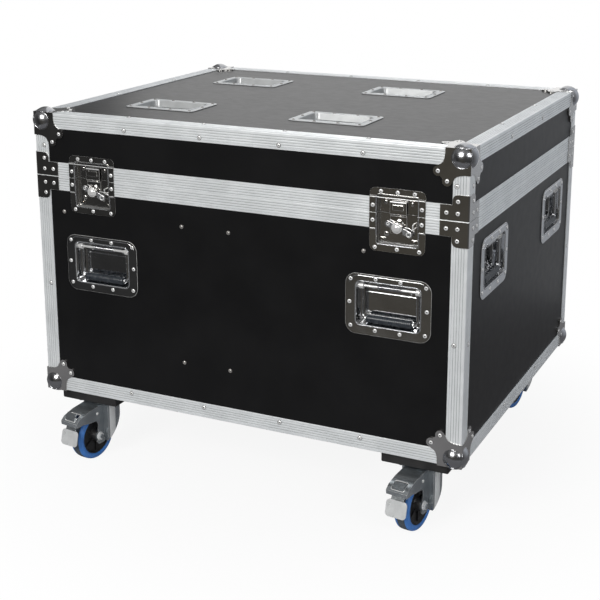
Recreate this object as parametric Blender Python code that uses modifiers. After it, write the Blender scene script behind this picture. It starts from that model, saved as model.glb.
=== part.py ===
"""Lighting flight case: a hinged road case on four swivel casters, built as separate pieces.

Metres, +Z up. X runs across the front, the front faces -Y. The origin is on the floor,
under the middle of the whole object. Every size is a named value; places follow from them.
"""
import math

import bmesh
import bpy
from mathutils import Matrix, Vector

# Clearances
FIT = 0.0003              # between two pieces that rest on each other
OVERRUN = 0.005           # how far a cutter runs past what it cuts
FUSE = 0.0005             # how far joined shapes of one piece run into each other

# Case body
CASE_WIDTH = 1.100
CASE_DEPTH = 0.905
BASE_HEIGHT = 0.556
LID_HEIGHT = 0.154
PANEL = 0.0095            # laminated plywood
CORNER_NOTCH = 0.012      # tip of every corner, cut back for the ball corner

# Aluminium profiles
EDGE_LEG = 0.037
RIM_LEG = 0.0345
EDGE_WALL = 0.002
RIM_WALL = 0.002          # web and inner leg of the closing profile
RIM_INNER_LEG = 0.020
PARTING = 0.0005          # gap between the two closing profiles
TONGUE_WIDTH = 0.003
TONGUE_HEIGHT = 0.006
TONGUE_INSET = 0.0055     # outer face of the case to the tongue
TONGUE_PLAY = 0.0025      # groove wall to tongue, each side
GROOVE_PLAY = 0.0010      # tongue's top to the groove's top

# Corner plates
PLATE = 0.0015            # sheet steel of every riveted fitting
BRACE_ARM = 0.063
BRACE_RISE = 0.058
BRACE_WIDTH = 0.036
BRACE_RADIUS = 0.012
BRACE_PAD_INSET = 0.004   # joint pad between a brace plate and the profile under it

# Ball corners
BALL_RADIUS = 0.030
BALL_INSET = 0.019
BALL_ROOM = 0.0018         # hollow for a ball in the board under it
BALL_PLATE_SHORT = 0.055  # reach of the face plate along the case's edge
BALL_PLATE_LONG = 0.073   # reach where it leaves the profile
LOBE_NEAR = 0.049         # centre of a rivet lobe from one edge
LOBE_FAR = 0.070          # and from the other edge
LOBE_RADIUS = 0.011
LOBE_STEPS = 3

# Recessed latches
LATCH_INSET = 0.159       # latch centre from the end of the front
LATCH_OFFSET = CASE_WIDTH / 2 - LATCH_INSET
LATCH_RADIUS = 0.014
LATCH_POCKET_WIDTH = 0.0955
LATCH_POCKET_DROP = 0.070
LATCH_POCKET_RISE = 0.041
LATCH_FLANGE_SIDE = 0.01625   # plate past the tray, on each side
LATCH_FLANGE_LOW = 0.0155
LATCH_FLANGE_TOP = 0.0145
LATCH_WIDTH = LATCH_POCKET_WIDTH + 2 * LATCH_FLANGE_SIDE
LATCH_DROP = LATCH_POCKET_DROP + LATCH_FLANGE_LOW    # dish below the parting line
LATCH_RISE = LATCH_POCKET_RISE + LATCH_FLANGE_TOP    # keeper above it
LATCH_POCKET_DEPTH = 0.0105
LATCH_SHELL = 0.0012
JOGGLE = 0.003            # height of the bend from the profile down to the panel
HUB_DROP = 0.026          # turning hub below the parting line
HUB_RADIUS = 0.013
HUB_THICKNESS = 0.0035
SPINDLE_RADIUS = 0.004
HOOK_WIDTH = 0.038
HOOK_THICKNESS = 0.002
HOOK_TOP = 0.027          # above the parting line
HOOK_CRANK = 0.0037
HOOK_CRANK_TOP = -0.001
HOOK_CRANK_HEIGHT = 0.005
HOOK_END = 0.006          # material past the slot
HOOK_TRAVEL = 0.008
HOOK_SLOT_FLAT = 0.0001    # short flat between the slot's end roundings
KEEPER_WIDTH = 0.024
KEEPER_BOTTOM = 0.008
KEEPER_TOP = 0.020
KEEPER_PLAY = 0.0004
WING_TURN = math.radians(22.0)
WING_THICKNESS = 0.002
WING_SHORT_INSET = 0.01975    # tray's side to the end of the short ear
WING_LONG_INSET = 0.00975     # and to the end of the long ear
WING_SHORT = LATCH_POCKET_WIDTH / 2 - WING_SHORT_INSET
WING_LONG = LATCH_POCKET_WIDTH / 2 - WING_LONG_INSET
WING_WIDTH = 0.012
WING_WAIST = 0.007
WING_NECK_SHARE = 0.42    # where each ear starts, as a share of its reach
WING_CORNER = 0.003
WING_EDGE = 0.001         # ears' upper edge from the hub's centre
WING_AXIS_RISE = 0.004
WING_HOLE_RADIUS = 0.0035
WING_HOLE_INSET = 0.008
WING_KNUCKLE_RADIUS = 0.0022
WING_PIN_RADIUS = 0.0012
WING_KNUCKLE_LENGTH = 0.017
WING_LUG = 0.0025
WING_TONGUE = 0.0018       # thickness of the web from the plate to the knuckle

# Recessed handles
HANDLE_FRONT_INSET = 0.178    # centre from the end of the front
HANDLE_SIDE_INSET = 0.2005    # centre from the end of the side
HANDLE_FRONT_SHARE = 0.348 / 0.556   # centre's height, as a share of the base's
HANDLE_SIDE_SHARE = 0.425 / 0.556
HANDLE_FRONT_OFFSET = CASE_WIDTH / 2 - HANDLE_FRONT_INSET
HANDLE_FRONT_HEIGHT = BASE_HEIGHT * HANDLE_FRONT_SHARE
HANDLE_SIDE_OFFSET = CASE_DEPTH / 2 - HANDLE_SIDE_INSET
HANDLE_SIDE_HEIGHT = BASE_HEIGHT * HANDLE_SIDE_SHARE
HANDLE_RADIUS = 0.026
HANDLE_POCKET_WIDTH = 0.150
HANDLE_POCKET_RISE = 0.048    # pocket above the handle's centre
HANDLE_POCKET_DROP = 0.051    # and below it
HANDLE_FLANGE_SIDE = 0.0255   # plate past the pocket, on each side
HANDLE_FLANGE_TOP = 0.0185
HANDLE_FLANGE_LOW = 0.0225
HANDLE_WIDTH = HANDLE_POCKET_WIDTH + 2 * HANDLE_FLANGE_SIDE
HANDLE_RISE = HANDLE_POCKET_RISE + HANDLE_FLANGE_TOP
HANDLE_DROP = HANDLE_POCKET_DROP + HANDLE_FLANGE_LOW
HANDLE_POCKET_DEPTH = 0.028
HANDLE_POCKET_RADIUS = 0.008
HANDLE_ROD_RADIUS = 0.003
HANDLE_ROD_INSET = 0.012      # pocket's top to the rod
HANDLE_ROD_RISE = HANDLE_POCKET_RISE - HANDLE_ROD_INSET
HANDLE_ROD_DEPTH = 0.013
HANDLE_SPRING_RADIUS = 0.0055
HANDLE_SPRING_LENGTH = 0.058
GRIP_REST = 0.012         # pocket's bottom to the middle of the grip
GRIP_INSET = 0.009        # pocket's side to the arm
GRIP_ARM = HANDLE_POCKET_DROP + HANDLE_ROD_RISE - GRIP_REST
GRIP_SPREAD = HANDLE_POCKET_WIDTH / 2 - GRIP_INSET
GRIP_WIRE_RADIUS = 0.0045
GRIP_BEND = 0.012
GRIP_RADIUS = 0.010
GRIP_LENGTH = 2 * (GRIP_SPREAD - GRIP_BEND)
GRIP_EYE_RADIUS = 0.0075
GRIP_EYE_LENGTH = 0.010

# Wheel cups in the lid, placed from the middle of the case
CUP_X_SHARES = (-0.302 / 1.100, 0.146 / 1.100)
CUP_Y_SHARES = (-0.224 / 0.905, 0.214 / 0.905)
CUP_RADIUS = 0.012
CUP_POCKET_WIDTH = 0.156
CUP_POCKET_DEPTH = 0.096
CUP_FLANGE = 0.0185       # plate past the pocket, all round
CUP_WIDTH = CUP_POCKET_WIDTH + 2 * CUP_FLANGE
CUP_DEPTH = CUP_POCKET_DEPTH + 2 * CUP_FLANGE
CUP_POCKET_RADIUS = 0.014
CUP_SINK = 0.016
CUP_SHELL = 0.0012

# Rear hinge
HINGE_INSET = 0.100       # hinge's end to the end of the back
HINGE_LENGTH = CASE_WIDTH - 2 * HINGE_INSET
HINGE_LEAF = 0.030
HINGE_KNUCKLE_RADIUS = 0.0045
HINGE_PIN_RADIUS = 0.002
HINGE_KNUCKLES = 5
HINGE_KNUCKLE_GAP = 0.0005

# Dividers, placed from the middle of the case
DIVIDER_SHARES = (-0.1465 / 1.100, -0.022 / 1.100)   # of the case's width
DIVIDER_DROP = 0.116      # the base's height over the dividers'
DIVIDER_HEIGHT = BASE_HEIGHT - DIVIDER_DROP

# Casters
PAD_SIZE = 0.160
PAD_THICKNESS = 0.027
PAD_INSET_X = 0.033
PAD_INSET_Y = 0.013
PAD_EDGE = 0.003
SWIVEL_INSET_X = 0.1125
SWIVEL_INSET_Y = 0.066
CASTER_PLATE_X = 0.105
CASTER_PLATE_Y = 0.085
CASTER_PLATE = 0.004
BEARING_RADIUS = 0.030
BEARING_HEIGHT = 0.007
KINGPIN_RADIUS = 0.006
KINGPIN_HEAD_RADIUS = 0.010
KINGPIN_HEAD = 0.004
WHEEL_RADIUS = 0.0625
WHEEL_ROOM = 0.030        # wheel's top to the board above it
WHEEL_HALF_WIDTH = 0.019
WHEEL_RIM_RADIUS = 0.047
WHEEL_WEB_RADIUS = 0.040
WHEEL_WEB_HALF = 0.010
WHEEL_HUB_RADIUS = 0.014
WHEEL_STEP = 0.003        # side of the tyre in to the rim's edge
SHOULDER_WIDTH = 0.010    # rounding of the tyre, along the axle
SHOULDER_DROP = 0.008     # and down from the tread
SHOULDER_MID_SHARE = (0.5, 0.19)
AXLE_RADIUS = 0.0055
NUT_RADIUS = 0.0095
NUT_THICKNESS = 0.006
TRAIL = 0.039
HEADING = math.radians(8.0)
FORK_GAP_HALF = 0.023
FORK_SHEET = 0.0035
HEAD_RADIUS = 0.046       # round swivel head
HEAD_SKIRT = 0.019        # its height at the back
FORK_CREASE = 0.018       # swivel axis forwards to the flange behind each leg
FORK_BEND = 0.036         # where the crown starts to fall
FORK_LIP = 0.019          # past the wheel's front
FORK_SHORT = 0.004        # forks without a brake end this far short of the wheel's front third
LEG_FRONT = 0.0095        # leg's front edge from the axle
LEG_NARROW = 0.0035       # and where it is narrowest
LEG_NARROW_RISE = 0.032   # above the axle
LEG_END = 0.021           # below the axle
LEG_TOE = 0.001           # front and back end of the leg's flat foot, from the axle
LEG_HEEL = -0.015
LEG_CORNER = 0.0035
LEG_REAR_END = 0.0165     # foot of the flange, below the axle
ARCH_RISE = 0.044         # top of the arch over the wheel, above the axle
ARCH_FRONT = 0.011        # and forwards of it
# Crown of a braked fork: shares of its reach, and of the crown's height above the floor
CROWN_SHARE = ((0.647, 0.970), (0.905, 0.912), (1.0, 0.846), (0.987, 0.776), (0.788, 0.780),
               (0.656, 0.755))
SHORT_CROWN_SHARE = ((0.93, 0.968), (1.0, 0.900))
SLOT_REAR = 0.0285        # slot in the crown, from the lip back
SLOT_FRONT = 0.0040
PEDAL_PIVOT_BACK = 0.010  # pedal's pin from the lip
PEDAL_PIVOT_DROP = 0.0035
PEDAL_PIN_RADIUS = 0.002
PEDAL_SHEET = 0.003
PEDAL_HALF = 0.0155
PEDAL_FLAP = 0.017
PEDAL_FLAP_OUT = 0.0035   # flap's hinge line from the pin
PEDAL_FLAP_RISE = 0.0095
PEDAL_FLAP_FLAT = math.radians(28.0)
PEDAL_FLAP_UP = math.radians(62.0)
PEDAL_NECK_DROP = 0.009
PEDAL_KNEE_OUT = 0.005
PEDAL_KNEE_DROP = 0.0195
PEDAL_TAB_HALF = 0.026
PEDAL_TAB_LENGTH = 0.038
PEDAL_TAB_RADIUS = 0.009
PEDAL_TAB_TILT = math.radians(14.0)

# Fineness
WHEEL_STEPS = 18
ROUND_STEPS = 3
BALL_SIDES = 12
BALL_RINGS = 8
SIDES = 16
SMOOTH_BELOW = math.radians(35.0)
MERGE = 0.000001

# Places that follow from the sizes above
CASTER_HEIGHT = WHEEL_RADIUS * 2 + WHEEL_ROOM
BOTTOM = CASTER_HEIGHT + PAD_THICKNESS
SPLIT = BOTTOM + BASE_HEIGHT
TOP = SPLIT + LID_HEIGHT
BALL_BULGE = BALL_RADIUS - BALL_INSET
PANEL_FACE = EDGE_WALL + FIT
PANEL_BACK = PANEL_FACE + PANEL
RIM_DEPTH = PANEL_BACK + FIT + RIM_WALL
CROWN_TOP = CASTER_HEIGHT - CASTER_PLATE - BEARING_HEIGHT - FIT
FORK_FRONT = TRAIL + WHEEL_RADIUS + FORK_LIP
FORK_SHORT_FRONT = TRAIL + WHEEL_RADIUS / 3 - FORK_SHORT
LIP_HEIGHT = CROWN_TOP * CROWN_SHARE[2][1]
PEDAL_PIVOT_OUT = FORK_FRONT - PEDAL_PIVOT_BACK
PEDAL_PIVOT_HEIGHT = LIP_HEIGHT - PEDAL_PIVOT_DROP
PEDAL_TIP_OUT = PEDAL_PIVOT_OUT + PEDAL_KNEE_OUT + PEDAL_TAB_LENGTH * math.sin(PEDAL_TAB_TILT)
FRONT_OVERHANG = (PEDAL_TIP_OUT * math.cos(HEADING) + PEDAL_TAB_HALF * math.sin(HEADING)
                  + PEDAL_SHEET / 2 - SWIVEL_INSET_Y)
BODY_Y = (FRONT_OVERHANG - BALL_BULGE) / 2
FRONT = BODY_Y - CASE_DEPTH / 2
BACK = BODY_Y + CASE_DEPTH / 2
RIGHT = CASE_WIDTH / 2
FLANGE_OUT = FIT + PLATE

PART_COLLECTION = "lighting_flight_case"
MATERIALS = {
    "black_laminate": ((0.012, 0.012, 0.013, 1), 0.35, 0.0),
    "aluminium": ((0.72, 0.73, 0.74, 1), 0.35, 1.0),
    "zinc_steel": ((0.62, 0.63, 0.65, 1), 0.22, 1.0),
    "bare_plywood": ((0.45, 0.30, 0.17, 1), 0.6, 0.0),
    "black_board": ((0.015, 0.015, 0.015, 1), 0.6, 0.0),
    "wheel_rubber": ((0.05, 0.16, 0.42, 1), 0.55, 0.0),
    "pedal_paint": ((0.60, 0.61, 0.61, 1), 0.4, 0.2),
}


def clear_scene():
    for item in list(bpy.data.objects):
        bpy.data.objects.remove(item, do_unlink=True)


def part_collection():
    found = bpy.data.collections.get(PART_COLLECTION)
    if found is None:
        found = bpy.data.collections.new(PART_COLLECTION)
        bpy.context.scene.collection.children.link(found)
    return found


def material(name):
    found = bpy.data.materials.get(name)
    if found is None:
        colour, roughness, metallic = MATERIALS[name]
        found = bpy.data.materials.new(name)
        found.use_nodes = True
        shader = found.node_tree.nodes["Principled BSDF"]
        shader.inputs["Base Color"].default_value = colour
        shader.inputs["Roughness"].default_value = roughness
        shader.inputs["Metallic"].default_value = metallic
    return found


def new_object(name, mesh):
    piece = bpy.data.objects.new(name, mesh)
    part_collection().objects.link(piece)
    return piece


def from_bmesh(name, shape):
    mesh = bpy.data.meshes.new(name)
    shape.to_mesh(mesh)
    shape.free()
    return new_object(name, mesh)


def box(low, high, name="block"):
    """A box between two corners."""
    low, high = Vector(low), Vector(high)
    shape = bmesh.new()
    bmesh.ops.create_cube(shape, size=1.0)
    size = Matrix.Diagonal((*(high - low), 1.0))
    shape.transform(Matrix.Translation((low + high) / 2) @ size)
    return from_bmesh(name, shape)


def cylinder(radius, start, end, sides=SIDES, name="rod"):
    """A round bar from start to end."""
    start, end = Vector(start), Vector(end)
    shape = bmesh.new()
    bmesh.ops.create_cone(shape, cap_ends=True, segments=sides, radius1=radius,
                          radius2=radius, depth=(end - start).length)
    turn = (end - start).to_track_quat("Z", "Y").to_matrix().to_4x4()
    shape.transform(Matrix.Translation((start + end) / 2) @ turn)
    return from_bmesh(name, shape)


def ball(radius, centre, name="ball"):
    shape = bmesh.new()
    bmesh.ops.create_uvsphere(shape, u_segments=BALL_SIDES, v_segments=BALL_RINGS,
                              radius=radius)
    shape.transform(Matrix.Translation(centre))
    return from_bmesh(name, shape)


def arc(centre, radius, start, end, steps):
    """Points on an arc, angles in radians."""
    return [(centre[0] + radius * math.cos(start + (end - start) * step / steps),
             centre[1] + radius * math.sin(start + (end - start) * step / steps))
            for step in range(steps + 1)]


def rounded(left, bottom, right, top, radius, steps=ROUND_STEPS):
    """A rectangle with round corners; radius is one value, or four from the lower left on."""
    radii = radius if isinstance(radius, (tuple, list)) else (radius,) * 4
    corners = ((left, bottom, 1, 1), (right, bottom, -1, 1),
               (right, top, -1, -1), (left, top, 1, -1))
    points = []
    for turn, ((x, y, sx, sy), size) in enumerate(zip(corners, radii)):
        if size <= 0:
            points.append((x, y))
            continue
        start = math.pi + turn * math.pi / 2
        points += arc((x + sx * size, y + sy * size), size, start, start + math.pi / 2, steps)
    return points


# Planes for flat outlines: the outline's two axes, then the axis it is thickened along
PLANES = {
    "xy": Matrix(((1, 0, 0), (0, 1, 0), (0, 0, 1))),
    "xz": Matrix(((1, 0, 0), (0, 0, -1), (0, 1, 0))),
    "yz": Matrix(((0, 0, 1), (1, 0, 0), (0, 1, 0))),
}


def slab(plane, outline, low, high, holes=(), name="slab"):
    """A flat outline thickened from low to high along the plane's normal."""
    curve = bpy.data.curves.new(name, "CURVE")
    curve.dimensions = "2D"
    curve.fill_mode = "BOTH"
    curve.extrude = (high - low) / 2
    for loop in (outline, *holes):
        spline = curve.splines.new("POLY")
        spline.points.add(len(loop) - 1)
        for point, (u, v) in zip(spline.points, loop):
            point.co = (u, v, 0, 1)
        spline.use_cyclic_u = True
    guide = new_object(name, curve)
    turn = PLANES[plane]
    normal = turn @ Vector((0, 0, 1))
    sign = 1 if max(normal, key=abs) > 0 else -1
    guide.matrix_world = Matrix.Translation(normal * sign * (low + high) / 2) @ turn.to_4x4()
    return bake(guide)


def tube(points, radius, sides_level=1, name="tube"):
    """A round bar along a line of points."""
    curve = bpy.data.curves.new(name, "CURVE")
    curve.dimensions = "3D"
    curve.bevel_depth = radius
    curve.bevel_resolution = sides_level
    curve.use_fill_caps = True
    spline = curve.splines.new("POLY")
    spline.points.add(len(points) - 1)
    for point, place in zip(spline.points, points):
        point.co = (*place, 1)
    return bake(new_object(name, curve))


def bake(piece):
    """The evaluated shape as a plain mesh object in world space; the guide is removed."""
    bpy.context.view_layer.update()
    seen = piece.evaluated_get(bpy.context.evaluated_depsgraph_get())
    mesh = bpy.data.meshes.new_from_object(seen)
    mesh.transform(piece.matrix_world)
    shape = bmesh.new()
    shape.from_mesh(mesh)
    bmesh.ops.remove_doubles(shape, verts=shape.verts, dist=MERGE)
    bmesh.ops.recalc_face_normals(shape, faces=shape.faces)
    name = piece.name
    bpy.data.objects.remove(piece, do_unlink=True)
    return from_bmesh(name, shape)


def combine(piece, tool, operation):
    """One exact Boolean, applied at once; the tool is used up."""
    modifier = piece.modifiers.new(operation.lower(), "BOOLEAN")
    modifier.operation = operation
    modifier.solver = "EXACT"
    modifier.object = tool
    done = bake(piece)
    bpy.data.objects.remove(tool, do_unlink=True)
    return done


def cut(piece, *tools):
    for tool in tools:
        piece = combine(piece, tool, "DIFFERENCE")
    return piece


def join(piece, *tools):
    for tool in tools:
        piece = combine(piece, tool, "UNION")
    return piece


def keep(piece, tool):
    return combine(piece, tool, "INTERSECT")


def finish(piece, name, finish_name, smooth=False):
    piece.name = name
    piece.data.name = name
    piece.data.materials.clear()
    piece.data.materials.append(material(finish_name))
    if smooth:
        piece.data.shade_smooth()
        piece.data.set_sharp_from_angle(angle=SMOOTH_BELOW)
    return piece


def place(piece, where, parent=None):
    """Puts a piece, built round its own origin, at a world matrix."""
    if parent is not None:
        piece.parent = parent
        bpy.context.view_layer.update()
        piece.matrix_world = where
    else:
        piece.matrix_world = where
    bpy.context.view_layer.update()
    return piece


def twin(piece, name, where, parent=None):
    """Another object with the same mesh."""
    return place(new_object(name, piece.data), where, parent)


def axis_empty(name, where, parent=None):
    empty = bpy.data.objects.new(name, None)
    part_collection().objects.link(empty)
    return place(empty, where, parent)


# Where things stand on the faces: local x along the face, local y into the case, z up
def on_front(x, z):
    return Matrix.Translation((x, FRONT, z))


def on_side(side, y, z):
    return Matrix.Translation((side * RIGHT, y, z)) @ Matrix.Rotation(side * math.pi / 2, 4, "Z")


LATCHES = [("left", -LATCH_OFFSET), ("right", LATCH_OFFSET)]
HANDLES = (
    [(f"front_{side}", on_front(sign * HANDLE_FRONT_OFFSET, BOTTOM + HANDLE_FRONT_HEIGHT))
     for side, sign in (("left", -1), ("right", 1))]
    + [(f"{face}_{place_name}", on_side(side, BODY_Y + sign * HANDLE_SIDE_OFFSET,
                                        BOTTOM + HANDLE_SIDE_HEIGHT))
       for face, side in (("right", 1), ("left", -1))
       for place_name, sign in (("front", -1), ("rear", 1))]
)
CUPS = [(f"{depth_name}_{side}", x * CASE_WIDTH, BODY_Y + y * CASE_DEPTH)
        for depth_name, y in zip(("front", "rear"), CUP_Y_SHARES)
        for side, x in zip(("left", "right"), CUP_X_SHARES)]
CASTERS = [("front_left", -1, -1), ("front_right", 1, -1),
           ("rear_left", -1, 1), ("rear_right", 1, 1)]


def case_box(inset, low, high, name="block"):
    """A box inset from the case's outer walls."""
    return box((-RIGHT + inset, FRONT + inset, low), (RIGHT - inset, BACK - inset, high), name)


def frame_ring(outer, inner, low, high, name="ring"):
    """A rectangular ring round the case between two insets from its outer walls."""
    def loop(inset):
        return rounded(-RIGHT + inset, FRONT + inset, RIGHT - inset, BACK - inset, 0)
    return slab("xy", loop(outer), low, high, holes=(loop(inner),), name=name)


def notch_corners(piece, level):
    """Cuts the four corner tips at the case's bottom or top."""
    for sx in (-1, 1):
        for y, sy in ((FRONT, -1), (BACK, 1)):
            low = Vector((sx * RIGHT, y, level)) - Vector((CORNER_NOTCH,) * 3)
            high = Vector((sx * RIGHT, y, level)) + Vector((CORNER_NOTCH,) * 3)
            piece = cut(piece, box(low, high))
    return piece


def latch_holes(piece):
    """Openings in walls and profiles for the latch trays."""
    half = LATCH_POCKET_WIDTH / 2 + LATCH_SHELL + FIT
    for _, x in LATCHES:
        piece = cut(piece, box(
            (x - half, FRONT - OVERRUN, SPLIT - LATCH_POCKET_DROP - LATCH_SHELL - FIT),
            (x + half, FRONT + LATCH_POCKET_DEPTH + LATCH_SHELL + FIT,
             SPLIT + LATCH_POCKET_RISE + LATCH_SHELL + FIT)))
    return piece


def handle_hole(where):
    gap = PLATE + FIT
    hole = box((-HANDLE_POCKET_WIDTH / 2 - gap, -OVERRUN, -HANDLE_POCKET_DROP - gap),
               (HANDLE_POCKET_WIDTH / 2 + gap, PANEL_BACK + OVERRUN, HANDLE_POCKET_RISE + gap))
    hole.data.transform(where)
    return hole


def build_base_panels():
    """Four glued walls with their cut-outs, and the floor between them."""
    walls = frame_ring(PANEL_FACE, PANEL_BACK, BOTTOM + PANEL_FACE, SPLIT - RIM_WALL - FIT)
    walls = latch_holes(notch_corners(walls, BOTTOM))
    for _, where in HANDLES:
        walls = cut(walls, handle_hole(where))
    finish(walls, "base_wall_panels", "black_laminate")
    floor = case_box(PANEL_BACK + FIT, BOTTOM + PANEL_FACE, BOTTOM + PANEL_BACK)
    finish(floor, "base_floor_panel", "black_laminate")


def build_lid_panels(hinge):
    """The lid's four low walls, and its top with an opening for each wheel cup."""
    groove_top = PARTING + TONGUE_HEIGHT + GROOVE_PLAY
    walls = frame_ring(PANEL_FACE, PANEL_BACK, SPLIT + groove_top + RIM_WALL + FIT,
                       TOP - PANEL_FACE)
    walls = latch_holes(notch_corners(walls, TOP))
    finish(walls, "lid_wall_panels", "black_laminate")
    top = case_box(PANEL_BACK + FIT, TOP - PANEL_BACK, TOP - PANEL_FACE)
    gap = CUP_SHELL + FIT
    for _, x, y in CUPS:
        top = cut(top, box(
            (x - CUP_POCKET_WIDTH / 2 - gap, y - CUP_POCKET_DEPTH / 2 - gap, TOP - PANEL_BACK - OVERRUN),
            (x + CUP_POCKET_WIDTH / 2 + gap, y + CUP_POCKET_DEPTH / 2 + gap, TOP + OVERRUN)))
    finish(top, "lid_top_panel", "black_laminate")
    for piece in (walls, top):
        hang_on(piece, hinge)


def build_edging(name, level, end):
    """Angle profiles along one level's four edges, with the posts that run from it to end."""
    rise = 1 if end > level else -1
    low, high = min(level, end), max(level, end)
    frame = case_box(0, low, high)
    inner = sorted((level + rise * EDGE_WALL, end + rise * OVERRUN))
    window = sorted((level + rise * EDGE_LEG, end + rise * OVERRUN))
    flat = sorted((level - rise * OVERRUN, level + rise * EDGE_LEG))
    frame = cut(
        frame,
        case_box(EDGE_WALL, *inner),
        box((-RIGHT + EDGE_LEG, FRONT - OVERRUN, window[0]),
            (RIGHT - EDGE_LEG, BACK + OVERRUN, window[1])),
        box((-RIGHT - OVERRUN, FRONT + EDGE_LEG, window[0]),
            (RIGHT + OVERRUN, BACK - EDGE_LEG, window[1])),
        case_box(EDGE_LEG, *flat))
    frame = notch_corners(frame, level)
    return finish(frame, name, "aluminium")


def brace_plate(rise):
    """The L plate on the front face at its left corner, and the pad that joins it on."""
    outer = -FLANGE_OUT
    turn = 1 if rise > 0 else -1
    outline = [(outer, PARTING * turn), (BRACE_ARM, PARTING * turn), (BRACE_ARM, turn * RIM_LEG),
               (BRACE_WIDTH, turn * RIM_LEG)]
    bend = rounded(outer, RIM_LEG, BRACE_WIDTH, BRACE_RISE, (0, 0, BRACE_RADIUS, 0))
    outline += [(u, turn * v) for u, v in bend[2:]]
    plate = slab("xz", outline, outer, -FIT)
    span = sorted((turn * BRACE_PAD_INSET, turn * (RIM_LEG - BRACE_PAD_INSET)))
    pad = box((BRACE_PAD_INSET, -FIT - FUSE, span[0]),
              (BRACE_ARM - BRACE_PAD_INSET, EDGE_WALL / 2, span[1]))
    return plate, pad


def add_braces(rim, rise):
    """Folds a brace plate round each of a closing profile's four corners."""
    for sx in (-1, 1):
        for corner_y, sy in ((FRONT, -1), (BACK, 1)):
            first = Matrix.Translation((sx * RIGHT, corner_y, SPLIT))
            front = first @ Matrix.Diagonal((-sx, -sy, 1, 1))
            side = first @ Matrix.Diagonal((-sx, -sy, 1, 1)) @ Matrix(
                ((0, 1, 0, 0), (1, 0, 0, 0), (0, 0, 1, 0), (0, 0, 0, 1)))
            for where in (front, side):
                for shape in brace_plate(rise):
                    shape.data.transform(where)
                    if where.determinant() < 0:
                        shape.data.flip_normals()
                    rim = join(rim, shape)
    return rim


def build_base_rim():
    """Closing profile of the base: a channel over the walls' top, with a tongue on it."""
    rim = frame_ring(0, RIM_DEPTH, SPLIT - RIM_LEG, SPLIT)
    below = SPLIT - RIM_LEG - OVERRUN
    rim = cut(rim, frame_ring(EDGE_WALL, PANEL_BACK + FIT, below, SPLIT - RIM_WALL))
    rim = cut(rim, frame_ring(PANEL_BACK, RIM_DEPTH + OVERRUN, below, SPLIT - RIM_INNER_LEG))
    rim = join(rim, frame_ring(TONGUE_INSET, TONGUE_INSET + TONGUE_WIDTH,
                               SPLIT - RIM_WALL / 2, SPLIT + TONGUE_HEIGHT))
    rim = add_braces(latch_holes(rim), -1)
    finish(rim, "base_closing_profile", "aluminium")


def build_lid_rim(hinge):
    """Closing profile of the lid: the same channel turned over, grooved for the tongue."""
    low = SPLIT + PARTING
    groove_top = low + TONGUE_HEIGHT + GROOVE_PLAY
    above = SPLIT + RIM_LEG + OVERRUN
    rim = frame_ring(0, RIM_DEPTH, low, SPLIT + RIM_LEG)
    rim = cut(rim, frame_ring(EDGE_WALL, PANEL_BACK + FIT, groove_top + RIM_WALL, above))
    rim = cut(rim, frame_ring(PANEL_BACK, RIM_DEPTH + OVERRUN, SPLIT + RIM_INNER_LEG, above))
    rim = cut(rim, frame_ring(TONGUE_INSET - TONGUE_PLAY, TONGUE_INSET + TONGUE_WIDTH + TONGUE_PLAY,
                              low - OVERRUN, groove_top))
    rim = add_braces(latch_holes(rim), 1)
    finish(rim, "lid_closing_profile", "aluminium")
    hang_on(rim, hinge)


def hang_on(piece, parent):
    """Parents a piece and leaves it where it is."""
    place(piece, piece.matrix_world.copy(), parent)


def ball_plate_waste(reach):
    """What is cut off a face plate of a ball corner: all past its arms and rivet lobes."""
    lobe = arc((LOBE_FAR, LOBE_NEAR), LOBE_RADIUS, -math.pi / 3, math.pi * 0.6, LOBE_STEPS)
    half = [(BALL_PLATE_SHORT, -reach), (BALL_PLATE_SHORT, 0), (BALL_PLATE_LONG, EDGE_LEG), *lobe]
    return [*half, *[(v, u) for u, v in reversed(half)], (-reach, reach * 2), (reach * 2, reach * 2),
            (reach * 2, -reach)]


def turn_axes(piece, turn):
    """Swaps the axes round, so that one face's shape serves all three."""
    for vertex in piece.data.vertices:
        x, y, z = vertex.co
        vertex.co = ((x, y, z), (z, x, y), (y, z, x))[turn]
    return piece


def build_ball_corner_mesh():
    """One ball corner, built at the origin with the case towards +X, +Y and +Z."""
    reach = LOBE_FAR + LOBE_RADIUS + OVERRUN
    corner = join(box((-FLANGE_OUT,) * 3, (reach,) * 3), ball(BALL_RADIUS, (BALL_INSET,) * 3))
    case = box((-FIT,) * 3, (reach + OVERRUN,) * 3)
    case = cut(case, box((-FIT - OVERRUN,) * 3, (CORNER_NOTCH - FIT,) * 3))
    for turn in range(3):
        corner = cut(corner, turn_axes(slab("xz", ball_plate_waste(reach), -reach, PANEL_FACE), turn))
        opening = box((EDGE_LEG + FIT, -OVERRUN, EDGE_LEG + FIT),
                      (reach + OVERRUN * 2, PANEL_FACE - FIT, reach + OVERRUN * 2))
        case = cut(case, turn_axes(opening, turn))
    return finish(cut(corner, case), "ball_corner", "zinc_steel", smooth=True)


def build_ball_corners(hinge):
    """Eight equal corners. The shape is symmetric, so turning it does for mirroring it."""
    master = build_ball_corner_mesh()
    mesh = master.data
    bpy.data.objects.remove(master, do_unlink=True)
    swap = Matrix(((0, 1, 0, 0), (1, 0, 0, 0), (0, 0, 1, 0), (0, 0, 0, 1)))
    for level, z, parent in (("bottom", BOTTOM, None), ("top", TOP, hinge)):
        for depth_name, y, sy in (("front", FRONT, 1), ("rear", BACK, -1)):
            for side, x, sx in (("left", -RIGHT, 1), ("right", RIGHT, -1)):
                sz = 1 if level == "bottom" else -1
                turn = Matrix.Diagonal((sx, sy, sz, 1))
                if turn.determinant() < 0:
                    turn = turn @ swap
                piece = new_object(f"ball_corner_{level}_{depth_name}_{side}", mesh)
                place(piece, Matrix.Translation((x, y, z)) @ turn, parent)


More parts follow.
